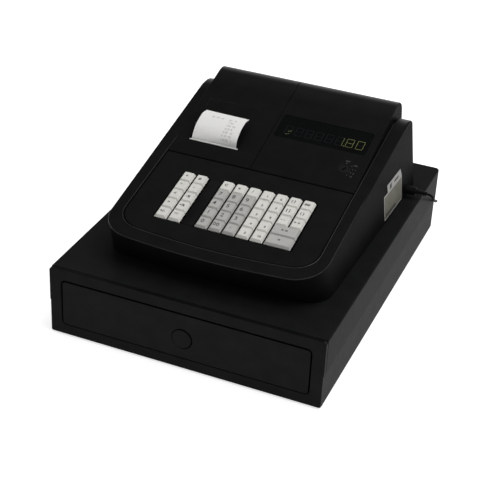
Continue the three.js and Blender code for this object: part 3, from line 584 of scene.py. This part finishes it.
def panel_shape(point):
    """Wider wells and a wider dark joint round the keyboard panel."""
    well_sides = ((-81.4, -0.6), (-47.4, 0.6), (-31.6, -0.6), (85.4, 0.6))
    well_ends = ((-116.4, -1.1), (-32.6, 0.3))
    joint = 0.95
    local = keyboard.inverted() @ point
    across, along = shifted(local.x, well_sides), shifted(local.y, well_ends)
    if across is not None:
        local.x = across
    elif along is not None:
        local.y = along
    else:
        local.x = local.x * (1 - joint / panel_half_width)
        local.y = panel_middle + (local.y - panel_middle) * (1 - joint / panel_half_length)
    return keyboard @ local


panel_back_y = -214


def drawer_shape(point):
    """Even joints above and below the drawer's panel, and its blank lock disc set low in the hole."""
    disc_reach, disc_ys, disc_x, disc_z = 12.6, (-217.9, -217.3), -0.6, 40.1
    disc_scale, disc_shift = 11.5 / 11.8, -0.35
    lower_z, lower_step, upper_z, upper_step = 17, 0.3, 70.5, 0.4
    if abs(point.x) < disc_reach and disc_ys[0] < point.y < disc_ys[1]:
        middle = Vector((disc_x, point.y, disc_z))
        return middle + (point - middle) * disc_scale + Vector((disc_shift, 0, disc_shift))
    if point.y < panel_back_y and point.z < lower_z:
        return point + Vector((0, 0, lower_step))
    if point.y < panel_back_y and point.z > upper_z:
        return point - Vector((0, 0, upper_step))
    return point


def in_shaded_joint(centre, normal):
    """Faces inside the joint between the drawer's panel and its frame, and round the lock disc, that take a
    darker material as painted shade.
    """
    gap_reach, gap_ys = 13.5, (-216.2, -215)
    joint_y, joint_x, joint_zs, not_forward = -212, 152, (13, 76), -0.5
    if abs(centre.x) < gap_reach and gap_ys[0] < centre.y < gap_ys[1]:
        return True
    return (centre.y < joint_y and normal.y > not_forward and abs(centre.x) < joint_x
            and joint_zs[0] < centre.z < joint_zs[1])


# Painted shade: faces in the drawer's joints and round its lock disc take the darker inner black
drawer_gap_shade = (in_shaded_joint, inner_black)
refined("upper_case", "case_shell", case_black, segments=4, edge_material=case_edge,
        wider=[(on_rim, 0.9), (on_lip, 0.7), (on_case_back, 2.4)])
refined("cabinet_base", "cabinet_lower", cabinet_front_lightened, width=0.6, painted_shade=drawer_gap_shade)
refined("cabinet_cover", "cabinet_upper", cabinet_black, width=0.4, segments=4, wider=[(on_cover_edge, 2.2)])
refined("drawer", "drawer_moulding", drawer_black, width=0.35, moved=drawer_shape, painted_shade=drawer_gap_shade)
refined("till_insert", "till_tray", till_grey, segments=2)
refined("base_pan", "base_floor", inner_black, width=0.4, segments=2)
refined("keyboard_panel", "keyboard_plate", panel_black, width=0.25, segments=2, moved=panel_shape)
refined("printer_cover", "printer_lid_shell", case_black, width=0.45, segments=4,
        wider=[(on_hood_end, 2.6)], moved=printer_cover_shape)
refined("display_cover", "display_shell", case_black, width=0.45, segments=4,
        wider=[(on_hood_end, 2.6)], moved=seam_back)
refined("display_window", "window_pane", window_smoke, width=0.3)
refined("mode_switch", "switch_rotor", switch_dark, width=0.3)
adaptor = frame["nodes"]["power_adaptor"]
adaptor.data.materials.clear()
adaptor.data.materials.append(rubber_black)
plug = refined("power_plug", "plug_moulding", rubber_black, width=0.25, segments=2)
refined("paper_roll", "roll_of_paper", paper, width=0.3, segments=2)


def lip_route():
    """The edge of the case's opening round the keyboard panel, end to end."""
    bm = joined_facets("upper_case")
    links = {}
    for edge in bm.edges:
        if len(edge.link_faces) == 2 and edge.calc_face_angle() > sharp_turn and on_lip(edge):
            for vertex in edge.verts:
                links.setdefault(vertex, []).append(edge.other_vert(vertex))
    ends = [vertex for vertex, others in links.items() if len(others) == 1]
    here = max(ends, key=lambda vertex: vertex.co.x)
    route, last = [here.co / MM], None
    while True:
        ahead = [vertex for vertex in links[here] if vertex != last]
        if not ahead:
            break
        last, here = here, ahead[0]
        route.append(here.co / MM)
    bm.free()
    return route


def lip_place(point, out, low):
    """Puts a point of the opening's edge out on the lip and a little down."""
    local = keyboard.inverted() @ point
    return keyboard @ Vector((local.x * (1 + out / panel_half_width),
                              panel_middle + (local.y - panel_middle) * (1 + out / panel_half_length), -low))


# Painted shadow: a black tube laid inside the lip, in the gap between the keyboard panel and the case
gap_shadow_route = [lip_place(point, out=-0.85, low=0.62) for point in lip_route()]
gap_shadow_line = curve_piece("gap_shadow_line", gap_shadow_route, 0.9, gap_shadow_black, resolution=3)
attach(gap_shadow_line, "register")
bead_route = [lip_place(point, out=0.4, low=0.1) for point in lip_route()]
lip_bead = curve_piece("lip_bead", bead_route, 0.45, bead_black, resolution=3)
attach(lip_bead, "register")
recess_corners = ((-104.0, 80, -0.14), (-106.3, 101.9, -0.1), (-38.2, 101.9, -0.1))
recess_route = [hood @ Vector(corner) for corner in recess_corners]
recess_bead = curve_piece("recess_bead", recess_route, 0.28, recess_edge, resolution=2)
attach(recess_bead, "printer_lid")

# Keys: hollow-topped caps with rounded flanks, one mesh each
key_rows = [
    ["left_1", "left_2", None, "clear", "multiply", "minus", "dept_1", "dept_6", "function_1", "function_2"],
    ["left_3", "left_4", None, "7", "8", "9", "dept_2", "dept_7", "function_3", "function_4"],
    ["left_5", "left_6", None, "4", "5", "6", "dept_3", "dept_8", "function_5", "function_6"],
    ["left_7", "left_8", None, "1", "2", "3", "dept_4", "dept_9", "subtotal", None],
    ["left_9", "left_10", None, "0", "00", "point", "dept_5", "dept_10", "cash", None],
]
grey_names = {"7", "8", "9", "4", "5", "6", "1", "2", "3", "0", "00", "point", "subtotal", "cash"}
pitch = 16.6
first_column, first_row = -72.7, 41.3
cap_width, cap_length = 15.3, 15.9
side_slope, front_slope, rear_slope, front_reach = 2.4, 2.2, 0.7, 0.3
skirt, foot, stalk_foot, stalk_half = 2.0, -3.6, -12.2, 2.5
dish_height, dish_share = 3.34, 0.4
# Height, share of the slopes, corner radius and inset of each ring of a cap, from the foot up
cap_levels = [
    (foot, 0.0, 0.4, skirt), (-0.15, 0.0, 0.4, skirt), (-0.05, 0.0, 0.4, 0.3), (0.3, 0.0, 0.4, 0.2),
    (0.44, 0.03, 0.4, 0.16), (0.58, 0.08, 0.4, 0.12), (3.10, 0.86, 0.5, 0.02), (3.32, 0.93, 0.5, 0.0),
    (3.45, 1.02, 0.5, 0.0), (3.5, 1.12, 0.5, 0.0), (3.47, 1.4, 0.5, 0.0), (3.40, 2.1, 0.5, 0.0),
]


def key_cap(x, s, width):
    """A cap centred on x, s of the keyboard, with the stalk under it."""
    half_width, half_length = width / 2, cap_length / 2
    rings = []
    for height, share, radius, inset in cap_levels:
        rings.append(rounded_ring(x - half_width + side_slope * share + inset,
                                  s - half_length - front_reach + front_slope * share + inset,
                                  x + half_width - side_slope * share - inset,
                                  s + half_length - rear_slope * share - inset,
                                  radius, height, steps=4))
    vertices, faces = ring_stack(rings, cap_high=False)
    count = len(rings[0])
    top = (len(rings) - 1) * count
    vertices.append((x, s + (front_slope - rear_slope) * dish_share, dish_height))
    centre = len(vertices) - 1
    for i in range(count):
        faces.append((top + i, top + (i + 1) % count, centre))
    base = len(vertices)
    for z in (foot, stalk_foot):
        for dx, dy in ((-1, -1), (1, -1), (1, 1), (-1, 1)):
            vertices.append((x + dx * stalk_half, s + dy * stalk_half, z))
    for i in range(4):
        j = (i + 1) % 4
        faces.append((base + i, base + 4 + i, base + 4 + j, base + j))
    faces.append((base + 7, base + 6, base + 5, base + 4))
    return vertices, faces


ink_thickness = 0.01


def lettering(name, words, place, size, material, body, x, y, z, bold=0.0):
    data = bpy.data.curves.new(name, "FONT")
    data.body = words
    data.size = size * MM
    data.align_x = "CENTER"
    data.align_y = "CENTER"
    data.extrude = ink_thickness * MM
    data.offset = bold * MM
    data.resolution_u = 3
    data.materials.append(material)
    piece = bpy.data.objects.new(name, data)
    spot = place @ Matrix.Translation((x, y, z))
    piece.matrix_world = Matrix.Translation(MM * spot.to_translation()) @ spot.to_3x3().to_4x4()
    scene.collection.objects.link(piece)
    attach(piece, body)
    return piece


signs = {"left_1": "+", "left_2": "#", "left_3": "*", "left_4": "-", "left_5": "<", "left_6": "-%",
         "left_7": ">", "left_8": "+%", "left_9": "+/-", "left_10": "**", "clear": "C", "multiply": "x",
         "minus": "/", "function_1": "( )", "function_2": "##", "function_3": "[ ]", "function_4": "( )",
         "function_5": "- -", "function_6": "+ +", "subtotal": "= =", "cash": "="}
legend_height = 3.47
# Size, shift across, shift up the slope and boldness of each kind of legend
number_style, long_number_style = (8.6, -1.1, 0.9, 0.05), (7.6, -1.1, 0.9, 0.05)
point_style, corner_style, sign_style = (9, -0.6, 3.2, 0.1), (4.6, 1.6, -1.4, 0.12), (5.4, -0.8, 0.9, 0.14)


def legend_of(name):
    """The words on a key and their style."""
    if name.isdigit():
        return name, number_style if len(name) == 1 else long_number_style
    if name == "point":
        return ".", point_style
    if name.startswith("dept_"):
        return name[5:], corner_style
    return signs[name], sign_style


for row, names in enumerate(key_rows):
    for column, name in enumerate(names):
        if name is None:
            continue
        wide = name in ("subtotal", "cash")
        x = first_column + column * pitch + (pitch / 2 if wide else 0)
        s = -(first_row + row * pitch)
        body = "key_" + name
        vertices, faces = key_cap(x, s, cap_width + (pitch if wide else 0))
        cap = add_mesh("cap_" + name, vertices, faces, keyboard,
                       key_grey if name in grey_names else key_ivory, body, sharp=50)
        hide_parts(body)
        words, (size, across, ahead, bold) = legend_of(name)
        lettering("legend_" + name, words, keyboard, size, legend_ink, body,
                  x + across, s + ahead, legend_height, bold)


# Display: eight digits under the window's face, the amount at the right lit
def segment(x, s, run, across, length, thick):
    """A six-sided bar with pointed ends, centred on x, s."""
    half, edge = length / 2, thick / 2
    outline = [(-half, 0), (-half + edge, edge), (half - edge, edge), (half, 0),
               (half - edge, -edge), (-half + edge, -edge)]
    return [(x + a * run[0] + b * across[0], s + a * run[1] + b * across[1]) for a, b in outline]


def digit(x, s, height=14.3, width=8.9, thick=0.52):
    """The seven bars of a digit centred on x, s, by letter."""
    half = height / 2
    bars = {}
    for label, level_s in (("a", half - thick / 2), ("g", 0), ("d", -half + thick / 2)):
        bars[label] = segment(x, s + level_s, (1, 0), (0, 1), width - thick * 1.5, thick)
    tall = half - thick * 0.9
    for label, dx, level_s in (("f", -1, 0.5), ("e", -1, -0.5), ("b", 1, 0.5), ("c", 1, -0.5)):
        cx = x + dx * (width / 2 - thick / 2)
        bars[label] = segment(cx, s + level_s * (half - thick / 2), (0, 1), (1, 0), tall, thick)
    return bars


segments_of = {"0": "abcdef", "1": "bc", "2": "abged", "3": "abgcd", "4": "fgbc", "5": "afgcd",
               "6": "afgedc", "7": "abc", "8": "abcdefg", "9": "abcdfg", "-": "g"}
dim_vertices, dim_faces, lit_vertices, lit_faces = [], [], [], []
bar_depth, bar_height = -0.36, 0.03


def add_bar(outline, lit):
    """Adds one bar to the lit or the unlit mesh of the display."""
    vertices, faces = (lit_vertices, lit_faces) if lit else (dim_vertices, dim_faces)
    base = len(vertices)
    count = len(outline)
    vertices.extend((x, s, bar_depth) for x, s in outline)
    vertices.extend((x, s, bar_depth + bar_height) for x, s in outline)
    faces.append(tuple(base + count + i for i in reversed(range(count))))
    for i in range(count):
        j = (i + 1) % count
        faces.append((base + i, base + j, base + count + j, base + count + i))


digit_count, digit_first, digit_pitch, digit_s = 8, 7.4, 12.87, 78.1
lit_bars = {5: segments_of["1"], 6: segments_of["8"], 7: segments_of["0"]}
for index in range(digit_count):
    for label, outline in digit(digit_first + digit_pitch * index, digit_s).items():
        add_bar(outline[::-1], label in lit_bars.get(index, ""))
dash_places, dash_run, dash_across = ((9.2, 76.4), (7.9, 71.0)), (0.90, 0.436), (-0.436, 0.90)
dash_length, dash_thick = 4.8, 0.75
for dash_x, dash_s in dash_places:
    add_bar(segment(dash_x, dash_s, dash_run, dash_across, dash_length, dash_thick)[::-1], True)
dot_after, dot_shift, dot_drop, dot_radius, dot_sides = 5.5, 0.4, 6.6, 0.7, 8
dot_x, dot_s = digit_first + digit_pitch * dot_after + dot_shift, digit_s - dot_drop
dot_turns = [-side * math.tau / dot_sides for side in range(dot_sides)]
add_bar([(dot_x + dot_radius * math.cos(turn), dot_s + dot_radius * math.sin(turn))
         for turn in dot_turns], True)
add_mesh("digits_unlit", dim_vertices, dim_faces, hood, segment_off, "register", smooth=False)
add_mesh("digits_lit", lit_vertices, lit_faces, hood, segment_lit, "register", smooth=False)

# Mode switch: its ring, and plain numbers round it
switch_x, switch_s = 92.5, 35.2
ring_profile = ((6.95, -0.5), (6.95, 0.12), (7.15, 0.3), (7.5, 0.34), (7.9, 0.2), (8.1, -0.1))
switch_rings = [round_ring(switch_x, switch_s, radius, z) for radius, z in ring_profile]
vertices, faces = ring_stack(switch_rings, cap_low=False, cap_high=False)
add_mesh("switch_ring", vertices, [tuple(reversed(f)) for f in faces], hood, switch_dark, "register")
switch_words = (("OFF", 93.2, 47.9), ("ON", 104.2, 43.2), ("1", 106.0, 36.6), ("2", 105.4, 30.0),
                ("10", 104.2, 24.6))
switch_dots = ((92.6, 44.5), (99.8, 41.4), (102.6, 36.4), (101.9, 30.6), (99.0, 25.7))
mark_size, mark_height, dot_profile = 3.0, 0.03, ((0.55, -0.05), (0.5, 0.05))
for index, (words, x, s) in enumerate(switch_words):
    lettering(f"switch_mark_{index}", words, hood, mark_size, mark_grey, "register", x, s, mark_height)
for index, (x, s) in enumerate(switch_dots):
    vertices, faces = ring_stack([round_ring(x, s, radius, z, steps=12) for radius, z in dot_profile])
    add_mesh(f"switch_dot_{index}", vertices, faces, hood, mark_grey, "register")


# Receipt: one thin curled sheet, with faint plain numbers. Its two edges are curves along the hood's
# slope and up from it, first points in the slot.
sheet_left, sheet_width, sheet_thick = -98.1, 58.0, 0.12
slot_s = 27
sheet_steps = 48
curl_left = [(0.5, -5.0), (0.5, 1.1), (3.4, 4.1), (12.9, 10), (23, 11.9), (34.4, 11.9), (46.5, 7.1)]
curl_right = [(0.5, -5.0), (0.4, 1.7), (3.6, 8.2), (13.9, 13.2), (24.2, 14.7), (34.2, 13.5), (43, 9.5)]


def smooth_line(points, count):
    """Evenly spaced places on the curve through the points, and the curve's length."""
    route = centripetal([(0, a, b) for a, b in points], steps=12)
    lengths = [0]
    for a, b in zip(route, route[1:]):
        lengths.append(lengths[-1] + (b - a).length)
    result = []
    k = 0
    for i in range(count + 1):
        want = lengths[-1] * i / count
        while k < len(route) - 2 and lengths[k + 1] < want:
            k += 1
        share = (want - lengths[k]) / max(lengths[k + 1] - lengths[k], 1e-9)
        result.append(route[k].lerp(route[k + 1], min(share, 1)))
    return result, lengths[-1]


left_line, left_length = smooth_line(curl_left, sheet_steps)
right_line, right_length = smooth_line(curl_right, sheet_steps)
paper_length = (left_length + right_length) / 2


def receipt_sheet():
    along, across = sheet_steps, 16
    top, under = [], []
    for i in range(along + 1):
        for j in range(across + 1):
            share = j / across
            spot = left_line[i].lerp(right_line[i], share)
            ahead = left_line[min(i + 1, along)].lerp(right_line[min(i + 1, along)], share)
            behind = left_line[max(i - 1, 0)].lerp(right_line[max(i - 1, 0)], share)
            run = (ahead - behind).normalized()
            normal = Vector((0, -run.z, run.y))
            x = sheet_left + sheet_width * share
            centre = Vector((x, slot_s + spot.y, spot.z))
            top.append(centre + normal * sheet_thick / 2)
            under.append(centre - normal * sheet_thick / 2)
    count = across + 1
    total = len(top)
    vertices = top + under
    faces = []
    for i in range(along):
        for j in range(across):
            a = i * count + j
            b = a + 1
            faces.append((a, b, b + count, a + count))
            faces.append((total + a + count, total + b + count, total + b, total + a))
    rim = ([j for j in range(across + 1)] + [i * count + across for i in range(1, along + 1)]
           + [along * count + j for j in reversed(range(across))]
           + [i * count for i in reversed(range(1, along))])
    for a, b in zip(rim, rim[1:] + rim[:1]):
        faces.append((b, a, total + a, total + b))
    return vertices, faces


vertices, faces = receipt_sheet()
receipt = add_mesh("receipt_sheet", vertices, faces, hood, paper, "printer_lid", sharp=60)
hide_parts("receipt")

# Faint numbers printed on the receipt, rows counted along the sheet from its hidden end
print_vertices, print_faces = [], []
print_gap, point_step, point_margin, point_size = 0.5, 0.8, 0.1, 0.4
print_lifts = (0.03, 0.085)


def on_sheet(x, run, lift):
    """The place x across the sheet and run along it, lifted off its middle layer."""
    place_on = run / paper_length * sheet_steps
    k = min(int(place_on), sheet_steps - 1)
    share = x / sheet_width
    here = left_line[k].lerp(right_line[k], share)
    ahead = left_line[k + 1].lerp(right_line[k + 1], share)
    spot = here.lerp(ahead, place_on - k)
    along = (ahead - here).normalized()
    normal = Vector((0, -along.z, along.y))
    return Vector((sheet_left + x, slot_s + spot.y, spot.z)) + normal * lift


def print_number(words, x, run, height=2.7, width=1.55, thick=0.36):
    for letter in words:
        if letter == ".":
            near, low = x + point_margin, run - height / 2
            far, high = near + point_size, low + point_size
            bars, step = [[(near, low), (far, low), (far, high), (near, high)]], point_step
        elif letter == " ":
            bars, step = [], width + print_gap
        else:
            every = digit(x + width / 2, run, height, width, thick)
            bars = [every[label] for label in segments_of[letter]]
            step = width + print_gap
        for outline in bars:
            base = len(print_vertices)
            count = len(outline)
            for lift in print_lifts:
                print_vertices.extend(on_sheet(a, b, lift) for a, b in outline)
            print_faces.append(tuple(base + i for i in range(count)))
            print_faces.append(tuple(base + count + i for i in reversed(range(count))))
            for i in range(count):
                j = (i + 1) % count
                print_faces.append((base + j, base + i, base + count + i, base + count + j))
        x += step


printed = (("02-09-20", 14.4, 41.8), ("00 15", 37.4, 41.8), ("2.50", 38.6, 36.9), ("1", 49.6, 36.9),
           ("1.00 25", 36.6, 32.0), ("5.00", 37.4, 27.1), ("8", 45.6, 27.1), ("3.00 40", 36.6, 22.2),
           ("2.10 50", 36.2, 17.4), ("110.00", 35.4, 12.6), ("7", 49.2, 12.6))
for words, x, run in printed:
    print_number(words, x, run)
add_mesh("receipt_print", print_vertices, print_faces, hood, print_grey, "printer_lid", smooth=False)

# Pale tear strip along the front of the slot
tear_ends = (-100.4, -37.9)
tear_profile = [(-1.55, -0.05), (-1.4, 0.45), (-0.9, 0.75), (-0.2, 0.8), (0.12, 0.55), (0.15, -2.0),
                (-1.2, -0.6)]
tear_vertices = [(x, slot_s + a, b) for x in tear_ends for a, b in tear_profile]
count = len(tear_profile)
tear_faces = [(i, (i + 1) % count, count + (i + 1) % count, count + i) for i in range(count)]
tear_faces += [tuple(range(count)), tuple(count + i for i in reversed(range(count)))]
add_mesh("tear_strip", tear_vertices, tear_faces, hood, strip_clear, "printer_lid", sharp=50)

# Blank rating label on the right wall of the case
wall_front_x, wall_rear_x = 133.5, 141
wall_front_y, wall_rear_y = 56.4, 396
wall_flare = (wall_rear_x - wall_front_x) / (wall_rear_y - wall_front_y)
wall_lean = 0.045


def on_wall(y, z, out):
    """A place on the right wall, out from its surface."""
    return (wall_front_x + (y - wall_front_y) * wall_flare - wall_lean * z + out, y, z)


def label_patch(name, outline, low, high, material):
    """A thin plate on the wall from low to high above its surface."""
    vertices = [on_wall(y, z, low) for y, z in outline] + [on_wall(y, z, high) for y, z in outline]
    count = len(outline)
    faces = [tuple(reversed(range(count))), tuple(count + i for i in range(count))]
    faces += [(i, (i + 1) % count, count + (i + 1) % count, count + i) for i in range(count)]
    return add_mesh(name, vertices, faces, register, material, "register", smooth=False)


label_patch("label_plate", [(263.5, 3.8), (328.0, 3.0), (322.4, 38.8), (315.0, 50.6), (265.5, 51.2),
                            (269.5, 39.8), (255.6, 39.6)], -0.1, 0.12, sticker_white)
label_patch("label_tint", [(264.6, 5.4), (326.6, 4.8), (321.0, 36.4), (271.0, 37.6), (257.6, 37.8)],
            0.1, 0.16, sticker_beige)
label_patch("label_band", [(267.5, 6.6), (304.0, 6.4), (303.0, 11.4), (266.0, 11.6)],
            0.15, 0.2, sticker_grey)
label_patch("label_mark", [(276.0, 41.0), (283.0, 41.0), (283.0, 47.5), (276.0, 47.5)],
            0.1, 0.16, sticker_grey)
label_patch("label_line", [(293.0, 42.4), (309.0, 42.2), (309.0, 45.4), (293.0, 45.6)],
            0.1, 0.16, sticker_grey)

# Filler strip between the two groups of keys, let into the panel
strip_box, strip_top_box = (-46.2, -115.4, -32.8, -33.6), (-46.0, -115.2, -33.0, -33.8)
strip_radius, strip_top_radius, strip_top = 0.8, 0.7, 0.12
strip_rings = [rounded_ring(*strip_box, strip_radius, z, steps=4) for z in (-0.5, -0.05)]
strip_rings.append(rounded_ring(*strip_top_box, strip_top_radius, strip_top, steps=4))
vertices, faces = ring_stack(strip_rings)
add_mesh("filler_strip", vertices, faces, keyboard, panel_black, "register")

# Floor, world and lamps
floor_half_m = 12
floor_glow = 0.65
floor_mesh = bpy.data.meshes.new("floor")
floor_corners = [(x * floor_half_m, y * floor_half_m, 0) for x, y in ((-1, -1), (1, -1), (1, 1), (-1, 1))]
floor_mesh.from_pydata(floor_corners, [], [(0, 1, 2, 3)])
floor = bpy.data.objects.new("floor", floor_mesh)
floor_material, tree, shader = node_material("floor_white")
shader.inputs["Base Color"].default_value = (0.8, 0.8, 0.8, 1)
shader.inputs["Roughness"].default_value = 0.9
shader.inputs["Specular IOR Level"].default_value = 0.0
seen = tree.nodes.new("ShaderNodeLightPath")
direct = mix(tree, "MAXIMUM", seen.outputs["Is Camera Ray"], seen.outputs["Is Glossy Ray"])
direct = mix(tree, "MAXIMUM", direct, seen.outputs["Is Transmission Ray"])
glow = tree.nodes.new("ShaderNodeEmission")
glow.inputs["Color"].default_value = (1, 1, 1, 1)
dimmed = tree.nodes.new("ShaderNodeMath")
dimmed.operation = "MULTIPLY"
dimmed.inputs[1].default_value = floor_glow
tree.links.new(direct, dimmed.inputs[0])
tree.links.new(dimmed.outputs[0], glow.inputs["Strength"])
both = tree.nodes.new("ShaderNodeAddShader")
output = tree.nodes["Material Output"]
tree.links.new(shader.outputs["BSDF"], both.inputs[0])
tree.links.new(glow.outputs["Emission"], both.inputs[1])
tree.links.new(both.outputs["Shader"], output.inputs["Surface"])
floor_mesh.materials.append(floor_material)
scene.collection.objects.link(floor)

# The studio is darker high up and toward the camera
sky_heights, sky_tones = (0.10, 0.60), (1, 0.30)
front_to_rear, front_to_rear_strength = (-0.6, 0.3), (0.45, 1.0)
world = bpy.data.worlds.new("studio")
scene.world = world
world.use_nodes = True
tree = world.node_tree
background = tree.nodes["Background"]
place = tree.nodes.new("ShaderNodeTexCoord")
split = tree.nodes.new("ShaderNodeSeparateXYZ")
tree.links.new(place.outputs["Generated"], split.inputs["Vector"])
sky = tree.nodes.new("ShaderNodeValToRGB")
for element, height, tone in zip(sky.color_ramp.elements, sky_heights, sky_tones):
    element.position = height
    element.color = (tone, tone, tone, 1)
tree.links.new(split.outputs["Z"], sky.inputs["Fac"])
strength = spread(tree, place.outputs["Generated"], "Y", front_to_rear, front_to_rear_strength)
tree.links.new(strength, background.inputs["Strength"])
tree.links.new(sky.outputs["Color"], background.inputs["Color"])


def area_lamp(name, place_m, aim_m, size, power):
    data = bpy.data.lights.new(name, "AREA")
    data.shape = "RECTANGLE"
    data.size, data.size_y = size
    data.energy = power
    lamp = bpy.data.objects.new(name, data)
    direction = Vector(aim_m) - Vector(place_m)
    facing = direction.to_track_quat("-Z", "Y").to_matrix().to_4x4()
    lamp.matrix_world = Matrix.Translation(place_m) @ facing
    scene.collection.objects.link(lamp)
    return lamp


lamp_aim_m, lamp_size_m = (0, 0, 0.1), (1.3, 1.3)
area_lamp("top_box", (0.62, 0.05, 1.72), lamp_aim_m, lamp_size_m, power=20)
area_lamp("front_box", (-0.55, -0.95, 1.55), lamp_aim_m, lamp_size_m, power=4.5)

scene.view_settings.view_transform = "Standard"
